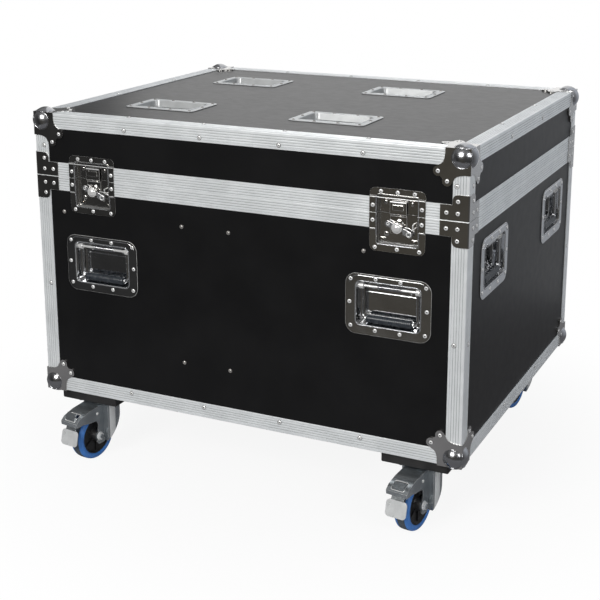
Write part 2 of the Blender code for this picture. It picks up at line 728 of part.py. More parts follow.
def latch_flange(rise, reach, pocket):
    """Riveted plate of a latch half: flat on the profile, bent down to the panel past it."""
    turn = 1 if rise else -1
    bend = RIM_LEG + FIT
    panel_front = PANEL_FACE - FIT - PLATE
    slope = JOGGLE
    profile = [(-FLANGE_OUT, PARTING), (-FLANGE_OUT, bend), (panel_front, bend + slope),
               (panel_front, reach), (panel_front + PLATE, reach),
               (panel_front + PLATE, bend + slope + FIT), (-FIT, bend + FIT), (-FIT, PARTING)]
    half = LATCH_WIDTH / 2
    plate = slab("yz", [(u, turn * v) for u, v in profile], -half, half)
    low, high = sorted((turn * -OVERRUN, turn * reach))
    radii = (0, 0, LATCH_RADIUS, LATCH_RADIUS) if rise else (LATCH_RADIUS, LATCH_RADIUS, 0, 0)
    plate = keep(plate, slab("xz", rounded(-half, low, half, high, radii), -OVERRUN, OVERRUN))
    inner = LATCH_POCKET_WIDTH / 2
    tray_low, tray_high = sorted((turn * PARTING, turn * (pocket + LATCH_SHELL)))
    tray = box((-inner - LATCH_SHELL, -FIT - PLATE / 2, tray_low),
               (inner + LATCH_SHELL, LATCH_POCKET_DEPTH + LATCH_SHELL, tray_high))
    hollow_low, hollow_high = sorted((turn * -OVERRUN, turn * pocket))
    hollow = box((-inner, -OVERRUN, hollow_low), (inner, LATCH_POCKET_DEPTH, hollow_high))
    return cut(join(plate, tray), hollow)


def build_latch_dish():
    """Lower half with the bush that the hub's spindle turns in."""
    dish = latch_flange(False, LATCH_DROP, LATCH_POCKET_DROP)
    bore = cylinder(SPINDLE_RADIUS + FIT, (0, 0, -HUB_DROP),
                    (0, LATCH_POCKET_DEPTH + LATCH_SHELL + OVERRUN, -HUB_DROP), 12)
    return finish(cut(dish, bore), "latch_dish", "zinc_steel")


def hook_front():
    """Depth of the hook's cranked face."""
    return LATCH_POCKET_DEPTH - FIT - HOOK_THICKNESS - HOOK_CRANK


def build_latch_keeper():
    """Upper half with the keeper block that the hook draws down on."""
    dish = latch_flange(True, LATCH_RISE, LATCH_POCKET_RISE)
    block = box((-KEEPER_WIDTH / 2, hook_front() + HOOK_THICKNESS + KEEPER_PLAY, KEEPER_BOTTOM),
                (KEEPER_WIDTH / 2, LATCH_POCKET_DEPTH + LATCH_SHELL / 2, KEEPER_TOP))
    return finish(join(dish, block), "latch_keeper", "zinc_steel")


def build_latch_hook():
    """Cranked draw plate, with a slot for the spindle; origin at the hub's centre."""
    back = LATCH_POCKET_DEPTH - FIT
    front = back - HOOK_THICKNESS
    slot_low = -HOOK_TRAVEL - SPINDLE_RADIUS - FIT
    bottom = slot_low - HOOK_END
    top = HOOK_TOP + HUB_DROP
    crank_top = HOOK_CRANK_TOP + HUB_DROP
    crank_low = crank_top - HOOK_CRANK_HEIGHT
    profile = [(front, bottom), (back, bottom), (back, crank_low), (back - HOOK_CRANK, crank_top),
               (back - HOOK_CRANK, top), (front - HOOK_CRANK, top), (front - HOOK_CRANK, crank_top),
               (front, crank_low)]
    plate = slab("yz", profile, -HOOK_WIDTH / 2, HOOK_WIDTH / 2)
    gap = SPINDLE_RADIUS + FIT
    slot = slab("xz", rounded(-gap, slot_low, gap, gap, gap - HOOK_SLOT_FLAT), 0, back + OVERRUN)
    return finish(cut(plate, slot), "latch_hook", "zinc_steel")


def hub_front():
    """Depth of the hub's front face."""
    return LATCH_POCKET_DEPTH - FIT - HOOK_THICKNESS - FIT - HUB_THICKNESS


def wing_axis_depth():
    return hub_front() - FIT - WING_KNUCKLE_RADIUS


def build_latch_hub():
    """Turning hub: disc, spindle, and two lugs with the pin that the wing folds on."""
    front = hub_front()
    disc = cylinder(HUB_RADIUS, (0, front, 0), (0, front + HUB_THICKNESS, 0), 20)
    spindle = cylinder(SPINDLE_RADIUS, (0, front + HUB_THICKNESS - FUSE, 0),
                       (0, LATCH_POCKET_DEPTH + LATCH_SHELL, 0), 12)
    depth = wing_axis_depth()
    inner = WING_KNUCKLE_LENGTH / 2 + FIT
    outer = inner + WING_LUG
    pin = cylinder(WING_PIN_RADIUS, (-outer + FUSE, depth, WING_AXIS_RISE),
                   (outer - FUSE, depth, WING_AXIS_RISE), 8)
    hub = join(disc, spindle)
    for side in (-1, 1):
        hub = join(hub, cylinder(WING_KNUCKLE_RADIUS, (side * inner, depth, WING_AXIS_RISE),
                                 (side * outer, depth, WING_AXIS_RISE), 10))
        ends = sorted((side * inner, side * outer))
        hub = join(hub, box((ends[0], depth, WING_AXIS_RISE - WING_KNUCKLE_RADIUS),
                            (ends[1], front + FUSE, WING_AXIS_RISE + WING_KNUCKLE_RADIUS)))
    return finish(join(hub, pin), "latch_hub", "zinc_steel", smooth=True)


def wing_outline():
    """Two ears of unlike reach on a narrow waist, measured from the wing's axis."""
    top = WING_EDGE - WING_AXIS_RISE
    low = top - WING_WIDTH
    waist = top - WING_WAIST
    left = WING_SHORT * WING_NECK_SHARE
    right = WING_LONG * WING_NECK_SHARE
    ear_left = rounded(-WING_SHORT, low, -left, top, WING_CORNER, 3)
    ear_right = rounded(right, low, WING_LONG, top, WING_CORNER, 3)
    per = len(ear_left) // 4
    outline = ear_left[:2 * per]
    outline += [(-left, waist), (right, waist)]
    outline += ear_right[:per] + ear_right[per:3 * per]
    outline += ear_left[3 * per:]
    return outline


def build_latch_wing():
    """The butterfly: a flat plate on a knuckle; origin on its fold axis."""
    half = WING_THICKNESS / 2
    plate = slab("xz", wing_outline(), -half, half)
    hole_x = WING_LONG - WING_HOLE_INSET
    hole_z = WING_EDGE - WING_AXIS_RISE - WING_WIDTH / 2
    plate = cut(plate, cylinder(WING_HOLE_RADIUS, (hole_x, -OVERRUN, hole_z),
                                (hole_x, OVERRUN, hole_z), 10))
    reach = WING_KNUCKLE_LENGTH / 2
    tongue = box((-reach, -WING_TONGUE / 2, WING_EDGE - WING_AXIS_RISE - WING_WAIST / 2),
                 (reach, WING_TONGUE / 2, 0))
    knuckle = cylinder(WING_KNUCKLE_RADIUS, (-reach, 0, 0), (reach, 0, 0), 10)
    bore = cylinder(WING_PIN_RADIUS + FIT, (-reach - OVERRUN, 0, 0), (reach + OVERRUN, 0, 0), 8)
    return finish(cut(join(plate, tongue, knuckle), bore), "latch_wing", "zinc_steel", smooth=True)


def build_latches(hinge):
    """Two butterfly latches across the parting line of the front."""
    masters = (build_latch_dish(), build_latch_keeper(), build_latch_hook(), build_latch_hub(),
               build_latch_wing())
    for side, x in LATCHES:
        at_split = on_front(x, SPLIT)
        at_hub = on_front(x, SPLIT - HUB_DROP)
        twin(masters[0], f"latch_dish_{side}", at_split)
        twin(masters[1], f"latch_keeper_{side}", at_split, hinge)
        twin(masters[2], f"latch_hook_{side}", at_hub)
        turned = at_hub @ Matrix.Rotation(WING_TURN, 4, "Y")
        hub = twin(masters[3], f"latch_hub_{side}", turned)
        axis = turned @ Matrix.Translation((0, wing_axis_depth(), WING_AXIS_RISE))
        twin(masters[4], f"latch_wing_{side}", axis, hub)
    for master in masters:
        bpy.data.objects.remove(master, do_unlink=True)


def build_handle_dish():
    """Riveted dish with its spring rod across the top of the pocket."""
    half_w = HANDLE_WIDTH / 2
    front = PANEL_FACE - FIT - PLATE
    inner = (HANDLE_POCKET_WIDTH / 2, HANDLE_POCKET_DROP, HANDLE_POCKET_RISE)
    dish = slab("xz", rounded(-half_w, -HANDLE_DROP, half_w, HANDLE_RISE, HANDLE_RADIUS),
                front, front + PLATE)
    shell = rounded(-inner[0] - PLATE, -inner[1] - PLATE, inner[0] + PLATE, inner[2] + PLATE,
                    HANDLE_POCKET_RADIUS + PLATE)
    dish = join(dish, slab("xz", shell, front + PLATE / 2, HANDLE_POCKET_DEPTH + PLATE))
    pocket = rounded(-inner[0], -inner[1], inner[0], inner[2], HANDLE_POCKET_RADIUS)
    dish = cut(dish, slab("xz", pocket, -OVERRUN, HANDLE_POCKET_DEPTH))
    reach = inner[0] + PLATE / 2
    rod = cylinder(HANDLE_ROD_RADIUS, (-reach, HANDLE_ROD_DEPTH, HANDLE_ROD_RISE),
                   (reach, HANDLE_ROD_DEPTH, HANDLE_ROD_RISE), 10)
    spring = HANDLE_SPRING_LENGTH / 2
    coil = cylinder(HANDLE_SPRING_RADIUS, (-spring, HANDLE_ROD_DEPTH, HANDLE_ROD_RISE),
                    (spring, HANDLE_ROD_DEPTH, HANDLE_ROD_RISE), 12)
    return finish(join(dish, join(rod, coil)), "handle_dish", "zinc_steel")


def build_handle_grip():
    """Bent wire with an eye at each end and a grip sleeve; origin on the rod's axis."""
    low = -GRIP_ARM
    path = [(-GRIP_SPREAD, 0, 0)]
    path += [(u, 0, v) for u, v in arc((-GRIP_SPREAD + GRIP_BEND, low + GRIP_BEND), GRIP_BEND,
                                       math.pi, 1.5 * math.pi, 3)]
    path += [(-u, 0, v) for u, _, v in reversed(path)]
    grip = tube(path, GRIP_WIRE_RADIUS)
    grip = join(grip, cylinder(GRIP_RADIUS, (-GRIP_LENGTH / 2, 0, low), (GRIP_LENGTH / 2, 0, low), 12))
    for side in (-1, 1):
        near = side * (GRIP_SPREAD - GRIP_EYE_LENGTH / 2)
        far = side * (GRIP_SPREAD + GRIP_EYE_LENGTH / 2)
        grip = join(grip, cylinder(GRIP_EYE_RADIUS, (near, 0, 0), (far, 0, 0), 12))
    end = GRIP_SPREAD + GRIP_EYE_LENGTH
    grip = cut(grip, cylinder(HANDLE_ROD_RADIUS + FIT, (-end, 0, 0), (end, 0, 0), 10))
    return finish(grip, "handle_grip", "zinc_steel", smooth=True)


def build_handles():
    dish, grip = build_handle_dish(), build_handle_grip()
    pivot = Matrix.Translation((0, HANDLE_ROD_DEPTH, HANDLE_ROD_RISE))
    for name, where in HANDLES:
        twin(dish, f"handle_dish_{name}", where)
        twin(grip, f"handle_grip_{name}", where @ pivot)
    for master in (dish, grip):
        bpy.data.objects.remove(master, do_unlink=True)


def build_cups(hinge):
    """Four dishes that take another case's wheels."""
    front = -PANEL_FACE + FIT
    half_x, half_y = CUP_POCKET_WIDTH / 2, CUP_POCKET_DEPTH / 2
    cup = slab("xy", rounded(-CUP_WIDTH / 2, -CUP_DEPTH / 2, CUP_WIDTH / 2, CUP_DEPTH / 2, CUP_RADIUS),
               front, front + PLATE)
    shell = rounded(-half_x - CUP_SHELL, -half_y - CUP_SHELL, half_x + CUP_SHELL, half_y + CUP_SHELL,
                    CUP_POCKET_RADIUS + CUP_SHELL)
    cup = join(cup, slab("xy", shell, -CUP_SINK - CUP_SHELL, front + PLATE / 2))
    pocket = rounded(-half_x, -half_y, half_x, half_y, CUP_POCKET_RADIUS)
    cup = finish(cut(cup, slab("xy", pocket, -CUP_SINK, OVERRUN)), "wheel_cup", "zinc_steel")
    for name, x, y in CUPS:
        twin(cup, f"wheel_cup_{name}", Matrix.Translation((x, y, TOP)), hinge)
    bpy.data.objects.remove(cup, do_unlink=True)


def hinge_axis():
    return Vector((0, BACK + FIT + HINGE_KNUCKLE_RADIUS, SPLIT + PARTING / 2))


def build_hinge(hinge):
    """One long hinge on the back: the base leaf holds the pin, the lid leaf turns on it."""
    axis = hinge_axis()
    half = HINGE_LENGTH / 2
    pitch = HINGE_LENGTH / HINGE_KNUCKLES
    base = box((-half, BACK + FIT, SPLIT - HINGE_LEAF), (half, BACK + FIT + PLATE, SPLIT))
    lid = box((-half, BACK + FIT, SPLIT + PARTING), (half, BACK + FIT + PLATE, SPLIT + HINGE_LEAF))
    clear = HINGE_KNUCKLE_RADIUS + FIT
    for turn in range(HINGE_KNUCKLES):
        left = -half + turn * pitch + (HINGE_KNUCKLE_GAP / 2 if turn else 0)
        right = -half + (turn + 1) * pitch - (HINGE_KNUCKLE_GAP / 2 if turn < HINGE_KNUCKLES - 1 else 0)
        holder, other = (base, lid) if turn % 2 == 0 else (lid, base)
        knuckle = cylinder(HINGE_KNUCKLE_RADIUS, (left, axis.y, axis.z), (right, axis.y, axis.z), 10)
        relief = box((left - HINGE_KNUCKLE_GAP, BACK - OVERRUN, axis.z - clear),
                     (right + HINGE_KNUCKLE_GAP, axis.y + clear, axis.z + clear))
        other = cut(other, relief)
        holder = join(holder, knuckle)
        base, lid = (holder, other) if turn % 2 == 0 else (other, holder)
    pin = cylinder(HINGE_PIN_RADIUS, (-half + FUSE, axis.y, axis.z), (half - FUSE, axis.y, axis.z), 8)
    bore = cylinder(HINGE_PIN_RADIUS + FIT, (-half - OVERRUN, axis.y, axis.z),
                    (half + OVERRUN, axis.y, axis.z), 8)
    finish(join(base, pin), "hinge_base_leaf", "zinc_steel")
    hang_on(finish(cut(lid, bore), "hinge_lid_leaf", "zinc_steel"), hinge)


def build_dividers():
    """Two boards that part the inside, standing on the floor between front and back."""
    floor = BOTTOM + PANEL_BACK + FIT
    for side, share in zip(("left", "right"), DIVIDER_SHARES):
        x = share * CASE_WIDTH
        board = box((x - PANEL / 2, FRONT + PANEL_BACK + FIT, floor),
                    (x + PANEL / 2, BACK - PANEL_BACK - FIT, floor + DIVIDER_HEIGHT))
        finish(board, f"divider_{side}", "bare_plywood")


def swivel_point(sx, sy):
    """Where a caster's swivel axis meets the floor."""
    y = FRONT + SWIVEL_INSET_Y if sy < 0 else BACK - SWIVEL_INSET_Y
    return Vector((sx * (RIGHT - SWIVEL_INSET_X), y, 0))


def build_caster_mount(name, sx, sy):
    """Board under the corner with the caster's plate, bearing and king pin on it."""
    near_x, far_x = RIGHT - PAD_INSET_X, RIGHT - PAD_INSET_X - PAD_SIZE
    edge_y = FRONT + PAD_INSET_Y if sy < 0 else BACK - PAD_INSET_Y
    ends_x = sorted((sx * near_x, sx * far_x))
    ends_y = sorted((edge_y, edge_y - sy * PAD_SIZE))
    pad = box((ends_x[0], ends_y[0], CASTER_HEIGHT), (ends_x[1], ends_y[1], BOTTOM - FIT))
    rounding = pad.modifiers.new("edges", "BEVEL")
    rounding.width = PAD_EDGE
    rounding.segments = 2
    pad = bake(pad)
    corner = Vector((sx * RIGHT, FRONT if sy < 0 else BACK, BOTTOM))
    reach = LOBE_FAR + LOBE_RADIUS + FIT
    low = [min(corner[i], corner[i] - s * reach) for i, s in ((0, sx), (1, sy))]
    high = [max(corner[i], corner[i] - s * reach) for i, s in ((0, sx), (1, sy))]
    pad = cut(pad, box((*low, BOTTOM - FLANGE_OUT - FIT), (*high, BOTTOM + OVERRUN)))
    centre = corner - Vector((sx * BALL_INSET, sy * BALL_INSET, -BALL_INSET))
    pad = cut(pad, ball(BALL_RADIUS + BALL_ROOM, centre))
    axis = swivel_point(sx, sy)
    plate_top = CASTER_HEIGHT + FUSE
    half = Vector((CASTER_PLATE_X / 2, CASTER_PLATE_Y / 2, 0))
    plate = box((axis.x - half.x, axis.y - half.y, CASTER_HEIGHT - CASTER_PLATE),
                (axis.x + half.x, axis.y + half.y, plate_top))
    bearing_low = CASTER_HEIGHT - CASTER_PLATE - BEARING_HEIGHT
    crown_low = bearing_low - FIT - CASTER_PLATE
    bearing = cylinder(BEARING_RADIUS, (axis.x, axis.y, bearing_low),
                       (axis.x, axis.y, CASTER_HEIGHT - CASTER_PLATE / 2))
    pin = cylinder(KINGPIN_RADIUS, (axis.x, axis.y, crown_low - FIT - KINGPIN_HEAD / 2),
                   (axis.x, axis.y, bearing_low + FUSE), 12)
    head = cylinder(KINGPIN_HEAD_RADIUS, (axis.x, axis.y, crown_low - FIT - KINGPIN_HEAD),
                    (axis.x, axis.y, crown_low - FIT), 12)
    finish(join(pad, plate, bearing, pin, head), f"caster_mount_{name}", "black_board")


def crown_line(braked):
    """Upper outline of a fork's front: u forwards from the swivel axis, v above the floor."""
    reach = FORK_FRONT if braked else FORK_SHORT_FRONT
    shares = CROWN_SHARE if braked else SHORT_CROWN_SHARE
    return [(FORK_BEND, CROWN_TOP), *[(reach * u, CROWN_TOP * v) for u, v in shares]]


def leg_line():
    """Front edge of a leg from the arch down, and its foot back to the crease."""
    places = [(ARCH_FRONT, ARCH_RISE), (LEG_NARROW, LEG_NARROW_RISE),
              (LEG_FRONT, -LEG_END / 2), (LEG_FRONT - LEG_CORNER / 2, -LEG_END + LEG_CORNER),
              (LEG_TOE, -LEG_END), (LEG_HEEL, -LEG_END)]
    return [*[(TRAIL + u, WHEEL_RADIUS + v) for u, v in places],
            (FORK_CREASE, WHEEL_RADIUS - LEG_REAR_END)]


def side_slab(outline, half):
    """A side view, u forwards, thickened to both sides of the fork's middle."""
    return slab("yz", [(-u, v) for u, v in outline], -half, half)


def build_head():
    """Round swivel head: a skirt that falls away to the back, closed in front by a flange."""
    foot = WHEEL_RADIUS - LEG_REAR_END
    head = cylinder(HEAD_RADIUS, (0, 0, foot), (0, 0, CROWN_TOP))
    hollow = cylinder(HEAD_RADIUS - FORK_SHEET, (0, 0, foot - OVERRUN), (0, 0, CROWN_TOP - CASTER_PLATE))
    reach = HEAD_RADIUS + OVERRUN
    face = FORK_CREASE + FORK_SHEET
    head = cut(head, box((-reach, -reach, foot - OVERRUN), (reach, -face, CROWN_TOP + OVERRUN)))
    hollow = cut(hollow, box((-reach, -reach, foot - OVERRUN * 2), (reach, -FORK_CREASE, CROWN_TOP)))
    waste = [(-HEAD_RADIUS, CROWN_TOP - HEAD_SKIRT), (face, foot), (face, foot - OVERRUN),
             (-reach, foot - OVERRUN), (-reach, CROWN_TOP - HEAD_SKIRT)]
    return cut(head, side_slab(waste, reach), hollow)


def build_fork(name, braked):
    """Pressed fork: round head, crown over the wheel, two legs and the axle with its nuts."""
    crown = crown_line(braked)
    outer = FORK_GAP_HALF + FORK_SHEET
    fork = side_slab([(FORK_CREASE, CROWN_TOP), *crown, *leg_line()], outer)
    fork = join(build_head(), fork)
    front = crown[4][0] - FORK_SHEET if braked else FORK_FRONT
    under = [(u, v - CASTER_PLATE) for u, v in crown[:3 if braked else 2]]
    if braked:
        under += [(FORK_FRONT - FORK_SHEET, LIP_HEIGHT - CASTER_PLATE)]
    else:
        under += [(front, under[-1][1])]
    back = -HEAD_RADIUS - OVERRUN
    inside = [(back, CROWN_TOP - CASTER_PLATE), *under, (front, -OVERRUN), (back, -OVERRUN)]
    fork = cut(fork, side_slab(inside, FORK_GAP_HALF))
    fork = cut(fork, cylinder(KINGPIN_RADIUS + FIT, (0, 0, CROWN_TOP - CASTER_PLATE - OVERRUN),
                              (0, 0, CROWN_TOP + OVERRUN), 12))
    ends = outer + NUT_THICKNESS
    fork = join(fork, cylinder(AXLE_RADIUS, (-outer, -TRAIL, WHEEL_RADIUS), (outer, -TRAIL, WHEEL_RADIUS), 12))
    for side in (-1, 1):
        fork = join(fork, cylinder(NUT_RADIUS, (side * (outer - FUSE), -TRAIL, WHEEL_RADIUS),
                                   (side * ends, -TRAIL, WHEEL_RADIUS), 6))
    if braked:
        half = PEDAL_HALF + FIT * 3
        fork = cut(fork, box((-half, -FORK_FRONT + SLOT_FRONT, LIP_HEIGHT - CASTER_PLATE),
                             (half, -FORK_FRONT + SLOT_REAR, CROWN_TOP)))
        pin_end = outer + OVERRUN
        fork = cut(fork, cylinder(PEDAL_PIN_RADIUS + FIT, (-pin_end, -PEDAL_PIVOT_OUT, PEDAL_PIVOT_HEIGHT),
                                  (pin_end, -PEDAL_PIVOT_OUT, PEDAL_PIVOT_HEIGHT), 10))
    return finish(fork, name, "zinc_steel")


def wheel_profile():
    """Half section of a wheel: distance along the axle, then radius, down the right side."""
    hub = FORK_GAP_HALF - FIT
    side = WHEEL_HALF_WIDTH
    mid = (side - SHOULDER_WIDTH * SHOULDER_MID_SHARE[0],
           WHEEL_RADIUS - SHOULDER_DROP * SHOULDER_MID_SHARE[1])
    return [(hub, AXLE_RADIUS + FIT), (hub, WHEEL_HUB_RADIUS), (WHEEL_WEB_HALF, WHEEL_HUB_RADIUS),
            (WHEEL_WEB_HALF, WHEEL_WEB_RADIUS), (side - WHEEL_STEP, WHEEL_RIM_RADIUS),
            (side, WHEEL_RADIUS - SHOULDER_DROP), mid, (side - SHOULDER_WIDTH, WHEEL_RADIUS)]


def build_wheel():
    """Tyre and rim as one turned body; origin at its middle on the axle's line, along X."""
    half = wheel_profile()
    loop = half + [(-x, r) for x, r in reversed(half)]
    shape = bmesh.new()
    verts = [shape.verts.new((x, 0, r)) for x, r in loop]
    for first, second in zip(verts, verts[1:] + verts[:1]):
        shape.edges.new((first, second))
    wheel = from_bmesh("wheel", shape)
    turn = wheel.modifiers.new("turn", "SCREW")
    turn.axis = "X"
    turn.angle = 2 * math.pi
    turn.steps = WHEEL_STEPS
    turn.render_steps = WHEEL_STEPS
    turn.use_merge_vertices = True
    turn.merge_threshold = MERGE
    return finish(bake(wheel), "wheel", "wheel_rubber", smooth=True)


def strip(points, half, sheet):
    """A bent sheet along a line in the side view, u forwards, with mitred bends."""
    normals = []
    for (u0, v0), (u1, v1) in zip(points, points[1:]):
        length = math.hypot(u1 - u0, v1 - v0)
        normals.append(((v0 - v1) / length, (u1 - u0) / length))
    rows = []
    for (u, v), first, second in zip(points, normals[:1] + normals, normals + normals[-1:]):
        mitre = sheet / (1 + first[0] * second[0] + first[1] * second[1])
        step = ((first[0] + second[0]) * mitre / 2, (first[1] + second[1]) * mitre / 2)
        rows.append(((u + step[0], v + step[1]), (u - step[0], v - step[1])))
    return side_slab([row[0] for row in rows] + [row[1] for row in reversed(rows)], half)


def build_pedal(flap_angle):
    """Brake pedal: one bent sheet on a pin, with a flap above and a foot tab below."""
    reach = FORK_GAP_HALF + FORK_SHEET - FUSE
    pin = cylinder(PEDAL_PIN_RADIUS, (-reach, 0, 0), (reach, 0, 0), 10)
    hinge_line = (PEDAL_FLAP_OUT, PEDAL_FLAP_RISE)
    flap_end = (hinge_line[0] - PEDAL_FLAP * math.cos(flap_angle),
                hinge_line[1] + PEDAL_FLAP * math.sin(flap_angle))
    knee = (PEDAL_KNEE_OUT, -PEDAL_KNEE_DROP)
    sheet = strip([flap_end, hinge_line, (0, 0), (0, -PEDAL_NECK_DROP), knee], PEDAL_HALF, PEDAL_SHEET)
    half = PEDAL_SHEET / 2
    tab = slab("xz", rounded(-PEDAL_TAB_HALF, -PEDAL_TAB_LENGTH, PEDAL_TAB_HALF, half,
                             PEDAL_TAB_RADIUS), -half, half)
    tab.data.transform(Matrix.Translation((0, -knee[0], knee[1]))
                       @ Matrix.Rotation(-PEDAL_TAB_TILT, 4, "X"))
    return finish(join(pin, sheet, tab), "pedal", "pedal_paint")


def build_casters():
    forks = {True: build_fork("fork_braked", True), False: build_fork("fork_plain", False)}
    pedals = {-1: build_pedal(PEDAL_FLAP_UP), 1: build_pedal(PEDAL_FLAP_FLAT)}
    wheel = build_wheel()
    for name, sx, sy in CASTERS:
        build_caster_mount(name, sx, sy)
        braked = sy < 0
        at_swivel = Matrix.Translation(swivel_point(sx, sy)) @ Matrix.Rotation(-HEADING, 4, "Z")
        fork = twin(forks[braked], f"caster_fork_{name}", at_swivel)
        at_axle = at_swivel @ Matrix.Translation((0, -TRAIL, WHEEL_RADIUS))
        twin(wheel, f"wheel_{name}", at_axle, fork)
        if braked:
            at_pin = at_swivel @ Matrix.Translation((0, -PEDAL_PIVOT_OUT, PEDAL_PIVOT_HEIGHT))
            twin(pedals[sx], f"brake_pedal_{name}", at_pin, fork)
    for master in (*forks.values(), *pedals.values(), wheel):
        bpy.data.objects.remove(master, do_unlink=True)


def main():
    clear_scene()
    hinge = axis_empty("lid_hinge_axis", Matrix.Translation(hinge_axis()))
    build_base_panels()
    build_lid_panels(hinge)
    build_edging("base_edging", BOTTOM, SPLIT - RIM_LEG - FIT)
    hang_on(build_edging("lid_edging", TOP, SPLIT + RIM_LEG + FIT), hinge)
    build_base_rim()
    build_lid_rim(hinge)
    build_ball_corners(hinge)
    build_latches(hinge)
    build_handles()
    build_cups(hinge)
    build_hinge(hinge)
    build_dividers()
    build_casters()


main()
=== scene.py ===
"""Lighting flight case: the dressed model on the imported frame, in metres."""

import math

import bmesh
import bpy
from mathutils import Matrix, Vector


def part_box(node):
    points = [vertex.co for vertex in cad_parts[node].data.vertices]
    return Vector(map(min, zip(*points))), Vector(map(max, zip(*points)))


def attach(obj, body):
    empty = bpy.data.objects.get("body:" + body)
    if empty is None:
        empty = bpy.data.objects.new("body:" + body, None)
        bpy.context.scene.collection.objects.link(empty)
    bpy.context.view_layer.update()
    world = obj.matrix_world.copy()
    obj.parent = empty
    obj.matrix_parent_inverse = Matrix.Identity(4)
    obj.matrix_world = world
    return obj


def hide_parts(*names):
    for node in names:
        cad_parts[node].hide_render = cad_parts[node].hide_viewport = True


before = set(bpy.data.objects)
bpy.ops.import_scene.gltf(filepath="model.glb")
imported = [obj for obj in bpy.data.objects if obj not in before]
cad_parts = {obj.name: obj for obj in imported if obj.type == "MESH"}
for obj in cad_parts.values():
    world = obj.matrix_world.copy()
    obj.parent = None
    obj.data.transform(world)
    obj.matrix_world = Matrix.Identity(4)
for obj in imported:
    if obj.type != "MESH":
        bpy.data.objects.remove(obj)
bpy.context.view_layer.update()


# The case's faces, read from the frame.
EDGING_LOW, EDGING_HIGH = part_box("base_edging")
RIGHT, FRONT, BACK, BOTTOM = EDGING_HIGH[0], EDGING_LOW[1], EDGING_HIGH[1], EDGING_LOW[2]
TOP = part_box("lid_edging")[1][2]
SPLIT = BOTTOM + 0.556
MIDDLE = (FRONT + BACK) / 2
DEPTH = BACK - FRONT

FIT = 0.0003              # gap between pieces that touch
PLATE = 0.0015            # sheet of the fittings
OUT = 0.0018              # outer face of the fittings, past the case's faces
PANEL_FACE = 0.0023       # the panels' faces, behind the profiles' faces
FLANGE = PANEL_FACE - FIT - PLATE      # outer face of a flange that lies on a panel
LEG = 0.037               # leg of the edge profile
RIM_LEG = 0.0345          # leg of the closing profile
RIM_DEPTH = 0.0141
WALL = 0.002              # wall of the profiles
PARTING = 0.0005          # gap between base and lid
HEADING = math.radians(8.0)            # how far the casters are turned
FULL_TURN = 2 * math.pi


# ---------------------------------------------------------------- materials

def set_inputs(node, values):
    """Sets inputs by name; _ stands for a space."""
    for name, value in values.items():
        node.inputs[name.replace("_", " ")].default_value = value


def add_node(tree, kind, linked=None, **values):
    """A node with some inputs linked to a source and others set to a value."""
    made = tree.nodes.new("ShaderNode" + kind)
    for name, source in (linked or {}).items():
        tree.links.new(source, made.inputs[name])
    set_inputs(made, values)
    return made


def material(name):
    made = bpy.data.materials.new(name)
    made.use_nodes = True
    return made, made.node_tree, made.node_tree.nodes["Principled BSDF"]


def noise(tree, scale, detail, stretch):
    """Soft noise in the piece's own space."""
    where = add_node(tree, "TexCoord").outputs["Object"]
    stretched = add_node(tree, "Mapping", {"Vector": where}, Scale=stretch).outputs["Vector"]
    return add_node(tree, "TexNoise", {"Vector": stretched}, Scale=scale, Detail=detail,
                    Roughness=0.5).outputs["Fac"]


def finish_of(name, first, second, metallic, rough, scales, bumps, specular=0.5,
              stretch=(1, 1, 1), **more):
    """A finish whose colour, gloss and surface all vary: scales are for colour and gloss."""
    made, tree, shader = material(name)
    set_inputs(shader, {"Metallic": metallic, "Specular_IOR_Level": specular, **more})
    ramp = add_node(tree, "ValToRGB", {"Fac": noise(tree, scales[0], 5.0, stretch)})
    for element, place, colour in zip(ramp.color_ramp.elements, (0.35, 0.65), (first, second)):
        element.position = place
        element.color = (*colour, 1)
    tree.links.new(ramp.outputs["Color"], shader.inputs["Base Color"])
    gloss = add_node(tree, "MapRange", {"Value": noise(tree, scales[1], 6.0, stretch)},
                     From_Min=0.3, From_Max=0.7, To_Min=rough[0], To_Max=rough[1])
    tree.links.new(gloss.outputs["Result"], shader.inputs["Roughness"])
    under = {}
    for scale, strength, distance in bumps:
        relief = add_node(tree, "Bump", {"Height": noise(tree, scale, 3.0, stretch), **under},
                          Strength=strength, Distance=distance)
        under = {"Normal": relief.outputs["Normal"]}
    tree.links.new(under["Normal"], shader.inputs["Normal"])
    return made


# The walls' black laminate again, made lighter, bluer and more specular for the lid's top: painted
# sheen.
TOP_SHEEN_LAMINATE = finish_of("lid_laminate_painted_sheen", (0.0080, 0.0083, 0.0090), (0.0110, 0.0113, 0.0122), 0.0,
                     (0.33, 0.38), (6.0, 40.0), [(1400.0, 0.12, 0.00006)], 0.42, (1, 3, 1))
LAMINATE = finish_of("black_laminate_film", (0.0065, 0.0065, 0.007), (0.0085, 0.0085, 0.009), 0.0,
                     (0.33, 0.37), (9.0, 40.0), [(1400.0, 0.12, 0.00006)], 0.17)
ALUMINIUM = finish_of("satin_aluminium", (0.84, 0.865, 0.88), (0.92, 0.945, 0.96), 0.45,
                      (0.34, 0.46), (18.0, 60.0), [(700.0, 0.10, 0.00008)])
# Darker aluminium for the bottoms of the profiles' grooves: painted shade, where the grooves fall
# in shadow.
GROOVE_SHADE = finish_of("aluminium_painted_groove_shade", (0.44, 0.46, 0.465), (0.52, 0.54, 0.545), 0.45,
                        (0.44, 0.56), (18.0, 60.0), [(700.0, 0.10, 0.00008)])
CHROME = finish_of("bright_plate", (0.64, 0.63, 0.615), (0.74, 0.73, 0.715), 1.0,
                   (0.09, 0.16), (12.0, 30.0), [(26.0, 0.03, 0.0008), (260.0, 0.015, 0.0001)])
